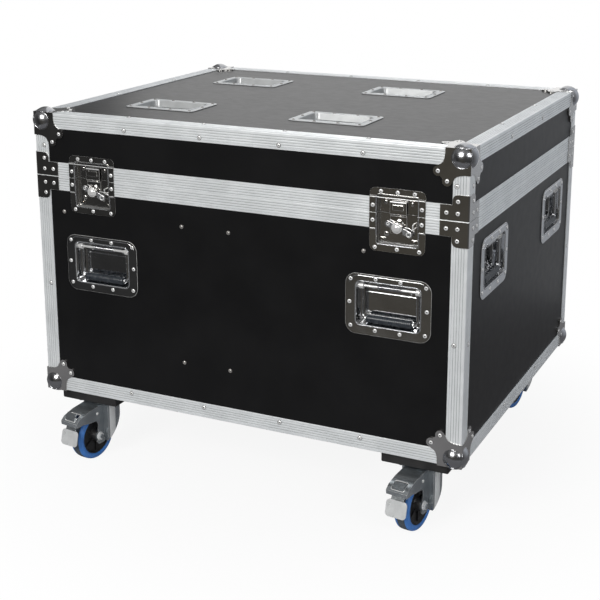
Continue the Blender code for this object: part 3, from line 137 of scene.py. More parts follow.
# Lighter, rougher finish for the plates' rounded edges: a painted glint that outlines each plate.
PLATE_GLINT = finish_of("plate_edge_painted_glint", (0.62, 0.62, 0.61), (0.74, 0.74, 0.73), 0.5,
                     (0.30, 0.42), (60.0, 120.0), [(600.0, 0.05, 0.00005)])
# Dull dark grey for the plated tray's walls: painted shade, which also keeps the walls from
# mirroring the lamps.
TRAY_WALL_SHADE = finish_of("tray_wall_painted_shade", (0.12, 0.12, 0.12), (0.17, 0.17, 0.165), 0.0,
                      (0.60, 0.70), (40.0, 90.0), [(300.0, 0.05, 0.0001)], 0.05)
# A lighter, part-diffuse stand-in for the plating on beads, folds, rims, collars and domes: painted
# highlight, so that they read as bright lines and spots.
HIGHLIGHT_BEAD = finish_of("bead_painted_highlight", (0.78, 0.78, 0.78), (0.88, 0.88, 0.87), 0.45,
                 (0.14, 0.24), (60.0, 120.0), [(600.0, 0.05, 0.00005)])
BEAD = finish_of("rolled_edge", (0.40, 0.41, 0.43), (0.52, 0.53, 0.55), 0.75,
                 (0.16, 0.26), (60.0, 120.0), [(600.0, 0.05, 0.00005)])
GLOBE = finish_of("domed_corner_zinc", (0.36, 0.365, 0.385), (0.44, 0.445, 0.465), 1.0,
                  (0.20, 0.28), (20.0, 50.0), [(160.0, 0.03, 0.0001)],
                  Coat_Weight=1.0, Coat_Roughness=0.06, Coat_IOR=1.9)
STEEL = finish_of("handle_steel_plate", (0.66, 0.665, 0.68), (0.78, 0.785, 0.795), 1.0,
                  (0.06, 0.13), (12.0, 30.0), [(24.0, 0.04, 0.0008), (300.0, 0.04, 0.0001)])
RIVET = finish_of("rivet_steel", (0.86, 0.86, 0.86), (0.94, 0.94, 0.93), 0.40,
                  (0.16, 0.26), (90.0, 200.0), [(900.0, 0.08, 0.00005)])
# Dark for the rivets' broken stems, and for the ring round each head, which is painted shadow.
MANDREL_AND_SHADOW = finish_of("rivet_mandrel_and_painted_shadow", (0.035, 0.033, 0.03), (0.08, 0.075, 0.07), 0.8,
                    (0.4, 0.6), (300.0, 300.0), [(1200.0, 0.2, 0.0001)])
# One zinc in two copies: a lighter one for the cup's up-facing flange and bead, painted light, and
# a darker one for the pocket, painted shade.
CUP_TOP_LIGHT = finish_of("cup_flange_painted_light", (0.60, 0.62, 0.63), (0.70, 0.72, 0.73), 0.50,
                    (0.30, 0.42), (25.0, 60.0), [(500.0, 0.08, 0.0001)])
CUP_SHADED = finish_of("cup_pocket_painted_shade", (0.36, 0.37, 0.375), (0.44, 0.45, 0.455), 0.50,
                (0.36, 0.48), (25.0, 60.0), [(500.0, 0.10, 0.0001)])
HINGE = finish_of("hinge_zinc", (0.45, 0.46, 0.47), (0.58, 0.59, 0.60), 0.9,
                  (0.22, 0.36), (30.0, 80.0), [(500.0, 0.1, 0.0001)])
ZINC = finish_of("caster_zinc_plate", (0.32, 0.35, 0.37), (0.52, 0.555, 0.58), 0.85,
                 (0.14, 0.26), (14.0, 40.0), [(60.0, 0.03, 0.0003), (900.0, 0.05, 0.00008)])
# The pedal's own pale paint, used also on the fork's flat sides behind the crease as a painted
# sheen.
PEDAL_PAINT_AND_SHEEN = finish_of("pedal_paint_and_painted_sheen", (0.72, 0.735, 0.74), (0.84, 0.855, 0.86), 0.45,
                  (0.26, 0.40), (40.0, 70.0), [(180.0, 0.10, 0.0003)])
BOARD = finish_of("black_board_stain", (0.010, 0.010, 0.011), (0.022, 0.021, 0.021), 0.0,
                  (0.50, 0.68), (30.0, 60.0), [(320.0, 0.25, 0.0004)], stretch=(1, 6, 1))
PLYWOOD = finish_of("birch_plywood", (0.50, 0.36, 0.21), (0.66, 0.50, 0.32), 0.0,
                    (0.45, 0.62), (10.0, 40.0), [(90.0, 0.2, 0.0005)], stretch=(1, 1, 9))
TREAD = finish_of("tread_rubber", (0.045, 0.060, 0.078), (0.075, 0.092, 0.112), 0.0,
                  (0.50, 0.68), (40.0, 120.0), [(700.0, 0.25, 0.0002)])
BLUE = finish_of("blue_elastic_tyre", (0.035, 0.155, 0.47), (0.055, 0.205, 0.58), 0.0,
                 (0.36, 0.50), (35.0, 90.0), [(600.0, 0.15, 0.0002)])
RIM = finish_of("black_moulded_rim", (0.010, 0.010, 0.011), (0.020, 0.020, 0.021), 0.0,
                (0.38, 0.52), (60.0, 120.0), [(800.0, 0.2, 0.0002)])
GRIP = finish_of("grip_sleeve", (0.020, 0.024, 0.030), (0.034, 0.040, 0.048), 0.0,
                 (0.20, 0.34), (60.0, 90.0), [(500.0, 0.15, 0.0002)])
PANEL_RIVET = finish_of("panel_rivet_zinc", (0.30, 0.29, 0.28), (0.42, 0.40, 0.38), 0.6,
                        (0.22, 0.34), (90.0, 200.0), [(900.0, 0.08, 0.00005)])
DARK = finish_of("pocket_shade", (0.010, 0.010, 0.010), (0.020, 0.020, 0.020), 0.0,
                 (0.5, 0.7), (60.0, 120.0), [(500.0, 0.2, 0.0002)])


# ---------------------------------------------------------------- mesh tools

def placed(name, data):
    made = bpy.data.objects.new(name, data)
    bpy.context.scene.collection.objects.link(made)
    return made


def drop(*pieces):
    for piece in pieces:
        bpy.data.objects.remove(piece, do_unlink=True)


def object_of(name, shape, finishes=()):
    mesh = bpy.data.meshes.new(name)
    shape.to_mesh(mesh)
    shape.free()
    for finish in finishes:
        mesh.materials.append(finish)
    return placed(name, mesh)


def from_bmesh(shape, name="piece"):
    bmesh.ops.recalc_face_normals(shape, faces=shape.faces[:])
    return object_of(name, shape)


def bands(shape, rings, closed=False, wrap=True):
    """Faces between each ring of vertices and the next; a ring of one vertex is a tip."""
    for first, second in zip(rings, rings[1:] + (rings[:1] if closed else [])):
        count = max(len(first), len(second))
        for k in range(count if wrap else count - 1):
            after = (k + 1) % count
            kept = []
            for corner in (first[k % len(first)], first[after % len(first)],
                           second[after % len(second)], second[k % len(second)]):
                if corner not in kept:
                    kept.append(corner)
            if len(kept) > 2:
                shape.faces.new(kept)


def prism(outline, low, high, lift, top_outline=None):
    """A closed block between two outlines; lift(u, v, w) puts a point in space."""
    shape = bmesh.new()
    ends = [[shape.verts.new(lift(u, v, w)) for u, v in points]
            for points, w in ((outline, low), (top_outline or outline, high))]
    for end in ends:
        shape.faces.new(end)
    bands(shape, ends)
    return from_bmesh(shape)


def XZ(u, v, w):
    return (u, w, v)


def XY(u, v, w):
    return (u, v, w)


def YZ(u, v, w):
    return (w, u, v)


def SIDE(u, v, w):
    """u forwards (towards -Y), v up, w across."""
    return (w, -u, v)


def block(low, high):
    return prism([(low[0], low[1]), (high[0], low[1]), (high[0], high[1]), (low[0], high[1])],
                 low[2], high[2], XY)


def circle(count):
    """Cosine and sine at equal steps round a full turn."""
    return [(math.cos(FULL_TURN * k / count), math.sin(FULL_TURN * k / count))
            for k in range(count)]


def arc(centre, radius, start, end, steps):
    return [(centre[0] + radius * math.cos(start + (end - start) * step / steps),
             centre[1] + radius * math.sin(start + (end - start) * step / steps))
            for step in range(steps + 1)]


def rounded(left, bottom, right, top, radius, steps=8):
    """A rectangle with rounded corners; radius is one number or four, from bottom left round."""
    radii = radius if isinstance(radius, tuple) else (radius,) * 4
    corners = ((left, bottom, 1, 1, math.pi), (right, bottom, -1, 1, 1.5 * math.pi),
               (right, top, -1, -1, 0.0), (left, top, 1, -1, 0.5 * math.pi))
    outline = []
    for (x, y, sx, sy, start), size in zip(corners, radii):
        if size:
            outline += arc((x + sx * size, y + sy * size), size, start, start + math.pi / 2, steps)
        else:
            outline.append((x, y))
    return outline


def opening(half, low, high, grow, radius):
    """The rounded outline of a pocket, grown by some distance on every side."""
    return rounded(-half - grow, low - grow, half + grow, high + grow, radius)


def rod(radius, start, end, sides):
    start, end = Vector(start), Vector(end)
    shape = bmesh.new()
    bmesh.ops.create_cone(shape, cap_ends=True, segments=sides, radius1=radius, radius2=radius,
                          depth=(end - start).length)
    turn = (end - start).to_track_quat("Z", "Y").to_matrix().to_4x4()
    shape.transform(Matrix.Translation((start + end) / 2) @ turn)
    return from_bmesh(shape)


def across(radius, start, end, y, z, sides):
    """A rod from left to right."""
    return rod(radius, (start, y, z), (end, y, z), sides)


def lathe(profile, axis, sides, at=(0, 0, 0)):
    """Turns (distance along the axis, radius) round an axis letter, and moves it to a place."""
    order = {"x": (0, 1, 2), "y": (1, 0, 2), "z": (1, 2, 0)}[axis]
    shape = bmesh.new()
    bands(shape, [[shape.verts.new([(along, radius * a, radius * b)[index] for index in order])
                   for a, b in (circle(sides) if radius else [(0, 0)])]
                  for along, radius in profile])
    made = from_bmesh(shape)
    made.data.transform(Matrix.Translation(at))
    return made


def globe(radius, centre, turns, rises):
    shape = bmesh.new()
    bmesh.ops.create_uvsphere(shape, u_segments=turns, v_segments=rises, radius=radius)
    shape.transform(Matrix.Translation(centre))
    return from_bmesh(shape)


def tube(points, radius, finish, sides=8, closed=False):
    """A round bar along points, with flat ends."""
    points = [Vector(point) for point in points]
    last = len(points) - 1
    shape = bmesh.new()
    rings, normal = [], None
    for index, point in enumerate(points):
        before = points[index - 1] if index or closed else point
        after = points[(index + 1) % len(points)] if index < last or closed else point
        ahead = (after - before).normalized()
        if normal is None:
            normal = ahead.orthogonal().normalized()
        normal = (normal - ahead * normal.dot(ahead)).normalized()
        other = ahead.cross(normal)
        rings.append([shape.verts.new(point + (normal * a + other * b) * radius)
                      for a, b in circle(sides)])
    bands(shape, rings, closed)
    if not closed:
        shape.faces.new(rings[0])
        shape.faces.new(rings[-1])
    return dress(from_bmesh(shape), finish, 60)


def bake(piece):
    """Applies a piece's modifiers."""
    graph = bpy.context.evaluated_depsgraph_get()
    mesh = bpy.data.meshes.new_from_object(piece.evaluated_get(graph))
    piece.modifiers.clear()
    piece.data = mesh
    return piece


def combine(piece, tools, operation):
    for tool in tools:
        step = piece.modifiers.new("step", "BOOLEAN")
        step.operation = operation
        step.solver = "EXACT"
        step.object = tool
        bpy.context.view_layer.update()
        bake(piece)
        drop(tool)
    return piece


def cut(piece, *tools):
    return combine(piece, tools, "DIFFERENCE")


def join(piece, *tools):
    return combine(piece, tools, "UNION")


def keep(piece, *tools):
    return combine(piece, tools, "INTERSECT")


def soften(piece, width, segments, angle=32, slot=-1):
    """Rounds the edges of pressed and turned metal."""
    edge = piece.modifiers.new("edge", "BEVEL")
    edge.width = width
    edge.segments = segments
    edge.limit_method = "ANGLE"
    edge.angle_limit = math.radians(angle)
    edge.use_clamp_overlap = True
    edge.material = slot
    return bake(piece)


def shade(piece, angle):
    for polygon in piece.data.polygons:
        polygon.use_smooth = True
    piece.data.set_sharp_from_angle(angle=math.radians(angle))
    return piece


def clad(piece, finish):
    piece.data.materials.clear()
    piece.data.materials.append(finish)
    return piece


def dress(piece, finish, smooth=40, soft=0.0, segments=2, angle=32):
    """One finish all over, with edges rounded where a width is given."""
    if soft:
        soften(piece, soft, segments, angle)
    return clad(shade(piece, smooth), finish)


def edged(piece, finish, width, segments, angle, smooth):
    """Sheet metal whose rounded edges get a lighter, part-diffuse finish: a painted glint along
    each edge.
    """
    clad(piece, finish).data.materials.append(PLATE_GLINT)
    return shade(soften(piece, width, segments, angle, 1), smooth)


def paint(piece, finish, chosen):
    """A further finish, for the faces that pass a test."""
    piece.data.materials.append(finish)
    for face in piece.data.polygons:
        if chosen(face):
            face.material_index = len(piece.data.materials) - 1
    return piece


def merged(name, pieces):
    """Several meshes as one piece, each with its own finish kept."""
    shape = bmesh.new()
    finishes = []
    for piece in pieces:
        start = len(shape.faces)
        shape.from_mesh(piece.data)
        shape.faces.ensure_lookup_table()
        for finish in piece.data.materials:
            if finish not in finishes:
                finishes.append(finish)
        slots = {index: finishes.index(finish) for index, finish in enumerate(piece.data.materials)}
        for face in shape.faces[start:]:
            face.material_index = slots.get(face.material_index, 0)
    made = object_of(name, shape, finishes)
    drop(*pieces)
    return made


def settle(piece, body, slot, *nodes):
    """Puts a finished piece on its body, with flat faces kept flat in the light."""
    even = piece.modifiers.new("even", "WEIGHTED_NORMAL")
    even.mode = "FACE_AREA"
    even.weight = 80
    even.keep_sharp = True
    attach(piece, body)
    if nodes:
        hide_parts(*nodes)


def copy_at(piece, name, where):
    made = placed(name, piece.data)
    made.matrix_world = where
    return made


# ---------------------------------------------------------------- places on the case

def moved(x, y, z):
    return Matrix.Translation((x, y, z))


def side_frame(sign, y, z):
    """Local y runs into the case, z up."""
    turn = Matrix(((0, -sign, 0, 0), (sign, 0, 0, 0), (0, 0, 1, 0), (0, 0, 0, 1)))
    return moved(sign * RIGHT, y, z) @ turn


def inset(sy, depth):
    """The y at a depth behind the front face (sy < 0) or before the back face."""
    return FRONT + depth if sy < 0 else BACK - depth


def looking(point, normal):
    """A frame at a point with +Z along a normal."""
    return Matrix.Translation(point) @ Vector(normal).to_track_quat("Z", "Y").to_matrix().to_4x4()


FACES = {
    "front": (lambda u, z, d: (u - RIGHT, FRONT + d, BOTTOM + z), (0, -1, 0)),
    "back": (lambda u, z, d: (RIGHT - u, BACK - d, BOTTOM + z), (0, 1, 0)),
    "right": (lambda u, z, d: (RIGHT - d, FRONT + u, BOTTOM + z), (1, 0, 0)),
    "left": (lambda u, z, d: (d - RIGHT, FRONT + u, BOTTOM + z), (-1, 0, 0)),
    "top": (lambda u, v, d: (u - RIGHT, FRONT + v, TOP - d), (0, 0, 1)),
    "under": (lambda u, v, d: (u - RIGHT, FRONT + v, BOTTOM + d), (0, 0, -1)),
}


def on_face(face, u, v, depth=0.0):
    where, normal = FACES[face]
    return looking(where(u, v, depth), normal)


# ---------------------------------------------------------------- rivets

def rivet_mesh():
    """A blind rivet's head along +Z, with the broken stem in its middle and a thin dark ring round
    the head, a painted shadow in the gap.
    """
    head = [(-0.0006, 0.0047), (0.0002, 0.0047), (0.0006, 0.0044), (0.0012, 0.0036),
            (0.0016, 0.0026), (0.00165, 0.0019), (0.0013, 0.0016), (0.0009, 0.00155)]
    stem = [(0.0009, 0.00155), (0.0011, 0.0009), (0.00115, 0.0)]
    # A thin dark ring just outside the head's rim: painted shadow.
    seat = [(-0.0006, 0.0055), (0.00008, 0.0055), (0.00012, 0.0052), (0.00012, 0.0046)]
    return merged("rivet_master", [clad(lathe(profile, "z", 20), finish) for profile, finish in
                                   ((head, RIVET), (stem, MANDREL_AND_SHADOW), (seat, MANDREL_AND_SHADOW))])


def dome_mesh():
    """A round solid rivet head."""
    head = [(-0.0006, 0.0046), (0.0003, 0.0046), (0.0010, 0.0043), (0.0018, 0.0035),
            (0.0024, 0.0022), (0.0026, 0.0010), (0.00262, 0.0)]
    return clad(lathe(head, "z", 20), PANEL_RIVET)


RIVET_MASTER = rivet_mesh()
DOME_MASTER = dome_mesh()


def rivets(name, body, places, slot, master=RIVET_MASTER, size=1.0):
    """One mesh of many rivets; places are frames with +Z outwards."""
    shape = bmesh.new()
    for where in places:
        start = len(shape.verts)
        shape.from_mesh(master.data)
        shape.verts.ensure_lookup_table()
        bmesh.ops.transform(shape, matrix=where @ Matrix.Scale(size, 4), verts=shape.verts[start:])
    settle(shade(object_of(name, shape, master.data.materials), 50), body, slot)


# ---------------------------------------------------------------- ribbed profiles

GROOVE = 0.0007
RIBS = 5
CORNER_SKIP = 0.044       # the profiles end under the ball corners' plates
LATCH_X = 0.391           # the latches' distance from the case's middle


def rib_line(length, first, pitch):
    """Distance along a leg and depth of its ribbed face, from the corner out."""
    line = []
    for turn in range(RIBS):
        start = first + turn * pitch
        end = start + pitch - 0.0018
        line += [(start, 0.00016), (start + 0.0009, 0.00003), (start + 0.0019, 0.0),
                 (end - 0.0010, 0.00003), (end, 0.00016)]
        if turn < RIBS - 1:
            line += [(end + 0.00025, GROOVE), (end + 0.00155, GROOVE)]
    return line + [(end + 0.0004, GROOVE), (end + 0.0010, GROOVE), (end + 0.0013, 0.0),
                   (length - 0.0007, 0.0), (length, 0.0006)]


def edge_section():
    """Angle profile: distances from its two outer planes."""
    leg = rib_line(LEG, 0.0034, 0.00595)
    bend = [(0.0022 + 0.0022 * math.cos(a), 0.0022 + 0.0022 * math.sin(a))
            for a in (math.pi * (1 + k / 12) for k in range(1, 6))]
    return [(WALL, LEG), *[(d, s) for s, d in reversed(leg)], (0.0, 0.0026), *bend,
            (0.0026, 0.0), *leg, (LEG, WALL), (WALL, WALL)]


def run(section, origin, along, length, first, second):
    """A straight length of profile."""
    origin, along, first, second = map(Vector, (origin, along, first, second))
    made = prism(section, 0.0, length, lambda p, q, t: origin + along * t + first * p + second * q)

    def in_groove(face):
        middle = face.center - origin
        depths = (middle.dot(first), middle.dot(second))
        return (min(abs(depth - GROOVE) for depth in depths) < 0.0001
                and abs(face.normal.dot(along)) < 0.5)

    # The faces at the bottom of the grooves take the darker aluminium: painted shade.
    return paint(dress(made, ALUMINIUM, 30), GROOVE_SHADE, in_groove)


def build_edging():
    section = edge_section()
    for level, end, body, node, name in (
            (BOTTOM, SPLIT - RIM_LEG - FIT, "case", "base_edging", "base_edge_profile"),
            (TOP, SPLIT + RIM_LEG + FIT, "lid", "lid_edging", "lid_edge_profile")):
        up = 1 if end > level else -1
        upright = (0, 0, up)
        runs = [run(section, (-RIGHT + CORNER_SKIP, y, level), (1, 0, 0),
                    2 * (RIGHT - CORNER_SKIP), (0, deep, 0), upright)
                for y, deep in ((FRONT, 1), (BACK, -1))]
        for x, inward in ((-RIGHT, (1, 0, 0)), (RIGHT, (-1, 0, 0))):
            runs.append(run(section, (x, FRONT + CORNER_SKIP, level), (0, 1, 0),
                            DEPTH - 2 * CORNER_SKIP, inward, upright))
            runs += [run(section, (x, y, level + up * CORNER_SKIP), upright,
                         abs(end - level) - CORNER_SKIP, inward, (0, deep, 0))
                     for y, deep in ((FRONT, 1), (BACK, -1))]
        settle(merged(name, runs), body, "aluminium_profile", node)


def ring(section, name):
    """A mitred frame round the case from a section of (depth, height)."""
    shape = bmesh.new()
    bands(shape, [[shape.verts.new((sx * (RIGHT - d), inset(sy, d), z)) for d, z in section]
                  for sx, sy in ((-1, -1), (1, -1), (1, 1), (-1, 1))], closed=True)
    return from_bmesh(shape, name)


def in_rim_groove(face):
    x, y, _ = face.center
    depth = min(RIGHT - abs(x), y - FRONT, BACK - y)
    return abs(depth - GROOVE) < 0.0001 and abs(face.normal.z) < 0.5


def build_rims():
    leg = rib_line(RIM_LEG, 0.0002, 0.00600)
    inner = PANEL_FACE + 0.0095 + FIT
    tongue, low, roof = SPLIT + 0.006, SPLIT + PARTING, SPLIT + PARTING + 0.007
    base = [(inner, SPLIT - WALL), (inner, SPLIT - 0.020), (RIM_DEPTH, SPLIT - 0.020),
            (RIM_DEPTH, SPLIT), (0.0085, SPLIT), (0.0083, tongue), (0.0057, tongue),
            (0.0055, SPLIT), (FIT, SPLIT)]
    lid = [(inner, roof + WALL), (inner, SPLIT + 0.020), (RIM_DEPTH, SPLIT + 0.020),
           (RIM_DEPTH, low), (0.011, low), (0.011, roof), (0.003, roof), (0.003, low),
           (FIT, low)]
    half = 0.0955 / 2 + 0.0016           # of the gap that a latch's tray takes
    for turn, start, rest, body, node, name in (
            (-1, 0.0, base, "case", "base_closing_profile", "base_rim_profile"),
            (1, PARTING, lid, "lid", "lid_closing_profile", "lid_rim_profile")):
        face = [(d, SPLIT + turn * max(s, start + 0.0001)) for s, d in leg]
        piece = ring([*face, (WALL, SPLIT + turn * RIM_LEG), (WALL, rest[0][1]), *rest], name)
        for x in (-LATCH_X, LATCH_X):
            piece = cut(piece, block((x - half, FRONT - 0.01, SPLIT - 0.08),
                                     (x + half, FRONT + 0.03, SPLIT + 0.06)))
        # The grooves of the closing profile take the darker aluminium too: painted shade.
        paint(dress(piece, ALUMINIUM, 30), GROOVE_SHADE, in_rim_groove)
        settle(piece, body, "aluminium_profile", node)


# ---------------------------------------------------------------- braces at the parting line

def folded(outline, cuts, fold, outer, inner):
    """A plate cut flat to an outline and folded in space, as one closed body."""
    flat = bmesh.new()
    flat.faces.new([flat.verts.new((s, v, 0.0)) for s, v in outline])
    for where in cuts:
        bmesh.ops.bisect_plane(flat, geom=flat.verts[:] + flat.edges[:] + flat.faces[:],
                               plane_co=(where, 0, 0), plane_no=(1, 0, 0))
    flat.verts.ensure_lookup_table()
    flat.verts.index_update()
    shape = bmesh.new()
    tops, lows = ([shape.verts.new(fold(vert.co.x, vert.co.y, out)) for vert in flat.verts]
                  for out in (outer, inner))
    for face in flat.faces:
        shape.faces.new([tops[vert.index] for vert in face.verts])
        shape.faces.new([lows[vert.index] for vert in reversed(face.verts)])
    for edge in flat.edges:
        if len(edge.link_faces) == 1:
            a, b = edge.verts[0].index, edge.verts[1].index
            shape.faces.new((tops[a], tops[b], lows[b], lows[a]))
    flat.free()
    return from_bmesh(shape)


def build_braces():
    bend = 0.0022
    half = [(0.0635, 0.0006), (0.0635, 0.0340), (0.0372, 0.0345), (0.0364, 0.0352)]
    half += arc((0.0362 - 0.0125, 0.0568 - 0.0125), 0.0125, 0.0, math.pi / 2, 8)
    outline = half + [(-s, v) for s, v in reversed(half)]
    cuts = [bend * (k / 4 - 1) for k in range(9)]
    for turn, body, name in ((-1, "case", "base_corner_braces"), (1, "lid", "lid_corner_braces")):
        pieces, places = [], []
        for sx, sy in ((-1, -1), (-1, 1), (1, -1), (1, 1)):
            def fold(s, v, out):
                if s >= bend:
                    p, q = s, -out
                elif s <= -bend:
                    p, q = -out, -s
                else:
                    angle = -math.pi / 2 - math.pi / 2 * (bend - s) / (2 * bend)
                    p = bend + (bend + out) * math.cos(angle)
                    q = bend + (bend + out) * math.sin(angle)
                z = SPLIT + turn * (v + PARTING / 2) + PARTING / 2
                return (sx * (RIGHT - p), inset(sy, q), z)

            plate = folded(outline, cuts, fold, OUT, FIT * 0.5)
            pieces.append(edged(plate, CHROME, 0.00035, 2, 50, 35))
            for s, v in ((0.0240, 0.0428), (0.0490, 0.0172), (0.0240, 0.0168)):
                z = SPLIT + turn * v
                places.append(looking((sx * (RIGHT - s), inset(sy, -OUT), z), (0, sy, 0)))
                places.append(looking((sx * (RIGHT + OUT), inset(sy, s), z), (sx, 0, 0)))
        settle(merged(name, pieces), body, "bright_zinc_plate")
        rivets(name + "_rivets", body, places, "bright_zinc_plate")


# ---------------------------------------------------------------- ball corners

LOBE_FAR, LOBE_NEAR, LOBE_RADIUS = 0.070, 0.0495, 0.011
BALL_RADIUS, BALL_INSET = 0.030, 0.019


def plate_waste(reach):
    lobe = arc((LOBE_FAR, LOBE_NEAR), LOBE_RADIUS, -math.pi * 0.42, math.pi * 0.62, 12)
    half = [(0.0552, -reach), (0.0552, 0.0), (0.0554, 0.012), (0.0566, 0.021), (0.0592, 0.0285),
            (0.0635, 0.0335), (0.0690, 0.0362), *lobe]
    return [*half, *[(v, u) for u, v in reversed(half)], (-reach, reach * 2),
            (reach * 2, reach * 2), (reach * 2, -reach)]


def turn_axes(piece, turn):
    for vertex in piece.data.vertices:
        x, y, z = vertex.co
        vertex.co = ((x, y, z), (z, x, y), (y, z, x))[turn]
    return piece


def ball_corner():
    reach = LOBE_FAR + LOBE_RADIUS + 0.005
    far = reach + 0.010
    plates = block((-OUT,) * 3, (reach,) * 3)
    case = block((-FIT,) * 3, (reach + 0.005,) * 3)
    for turn in range(3):
        plates = cut(plates, turn_axes(prism(plate_waste(reach), -reach, PANEL_FACE, XZ), turn))
        panel = block((LEG + FIT, -0.005, LEG + FIT), (far, PANEL_FACE - FIT, far))
        case = cut(case, turn_axes(panel, turn))
    plates = edged(cut(plates, case), CHROME, 0.0006, 3, 40, 40)
    ball = dress(globe(BALL_RADIUS, (BALL_INSET,) * 3, 64, 40), GLOBE, 60)
    radius = math.sqrt(BALL_RADIUS ** 2 - (BALL_INSET + OUT) ** 2) + 0.0004
    loop = [(BALL_INSET + radius * a, -OUT, BALL_INSET + radius * b) for a, b in circle(40)]
    beads = [turn_axes(tube(loop, 0.0011, GLOBE, closed=True), turn) for turn in range(3)]
    return merged("ball_corner_master", [plates, ball, *beads])


def build_ball_corners():
    master = ball_corner()
    swap = Matrix(((0, 1, 0, 0), (1, 0, 0, 0), (0, 0, 1, 0), (0, 0, 0, 1)))
    for level, z, sz, body in (("bottom", BOTTOM, 1, "case"), ("top", TOP, -1, "lid")):
        places = []
        for depth_name, y, sy in (("front", FRONT, 1), ("rear", BACK, -1)):
            for side, x, sx in (("left", -RIGHT, 1), ("right", RIGHT, -1)):
                turn = Matrix.Diagonal((sx, sy, sz, 1))
                if turn.determinant() < 0:
                    turn = turn @ swap
                where = moved(x, y, z) @ turn
                piece = copy_at(master, f"corner_{level}_{depth_name}_{side}", where)
                settle(piece, body, "bright_zinc_plate", f"ball_corner_{level}_{depth_name}_{side}")
                for u, v in ((LOBE_FAR, LOBE_NEAR), (LOBE_NEAR, LOBE_FAR)):
                    for at, out in (((u, -OUT, v), (0, -1, 0)), ((-OUT, u, v), (-1, 0, 0)),
                                    ((u, v, -OUT), (0, 0, -1))):
                        places.append(looking(where @ Vector(at), where.to_3x3() @ Vector(out)))
        rivets(f"corner_rivets_{level}", body, places, "bright_zinc_plate")
    drop(master)


# ---------------------------------------------------------------- rivets of profiles and panels

def build_rivets():
    """Places as read off the photograph, from a face's left and lower edge."""
    case, lid = [], []
    for face in ("front", "back"):
        case += [on_face(face, u, 0.026) for u in (0.250, 0.455, 0.657, 0.860)]
        lid += [on_face(face, u, 0.683) for u in (0.255, 0.458, 0.659, 0.860)]
        case += [on_face(face, u, 0.281) for u in (0.024, 1.0755)]
        lid += [on_face(face, u, 0.630) for u in (0.024, 1.072)]
    for face in ("right", "left"):
        case += [on_face(face, v, 0.026) for v in (0.327, 0.601)]
        lid += [on_face(face, v, 0.687) for v in (0.301, 0.564)]
        case += [on_face(face, v, 0.281) for v in (0.024, DEPTH - 0.024)]
        lid += [on_face(face, v, 0.630) for v in (0.024, DEPTH - 0.024)]
    level = [(u, v) for u in (0.251, 0.454, 0.660, 0.861) for v in (0.030, DEPTH - 0.027)]
    level += [(u, v) for u in (0.031, 1.069) for v in (0.320, 0.598)]
    case += [on_face("under", u, v) for u, v in level]
    lid += [on_face("top", u, v) for u, v in level]
    rivets("base_profile_rivets", "case", case, "aluminium_profile")
    rivets("lid_profile_rivets", "lid", lid, "aluminium_profile")
    panel = [on_face("front", u, z, PANEL_FACE) for u, z in (
        (0.404, 0.4676), (0.528, 0.4673), (0.403, 0.131), (0.5275, 0.131),
        (0.073, 0.469), (0.863, 0.466))]
    panel += [on_face("back", u, z, PANEL_FACE) for u, z in (
        (0.572, 0.4676), (0.696, 0.4673), (0.572, 0.131), (0.696, 0.131))]
    rivets("panel_rivets", "case", panel, "bright_zinc_plate", DOME_MASTER, 1.12)


# ---------------------------------------------------------------- latches

LATCH_HALF, LATCH_DROP, LATCH_RISE = 0.064, 0.0855, 0.0555
POCKET_HALF, POCKET_DROP, POCKET_RISE, POCKET_DEPTH = 0.04775, 0.070, 0.041, 0.0105
POCKET_SHELL, POCKET_CORNER, POCKET_SLOPE = 0.0012, 0.006, 0.0009
HUB_DROP = 0.026
WING_TURN = math.radians(22.0)
HOOK_REAR = POCKET_DEPTH - FIT
HOOK_FACE = HOOK_REAR - 0.002
HUB_FRONT = HOOK_FACE - FIT - 0.0035
WING_AXIS = HUB_FRONT - FIT - 0.0022


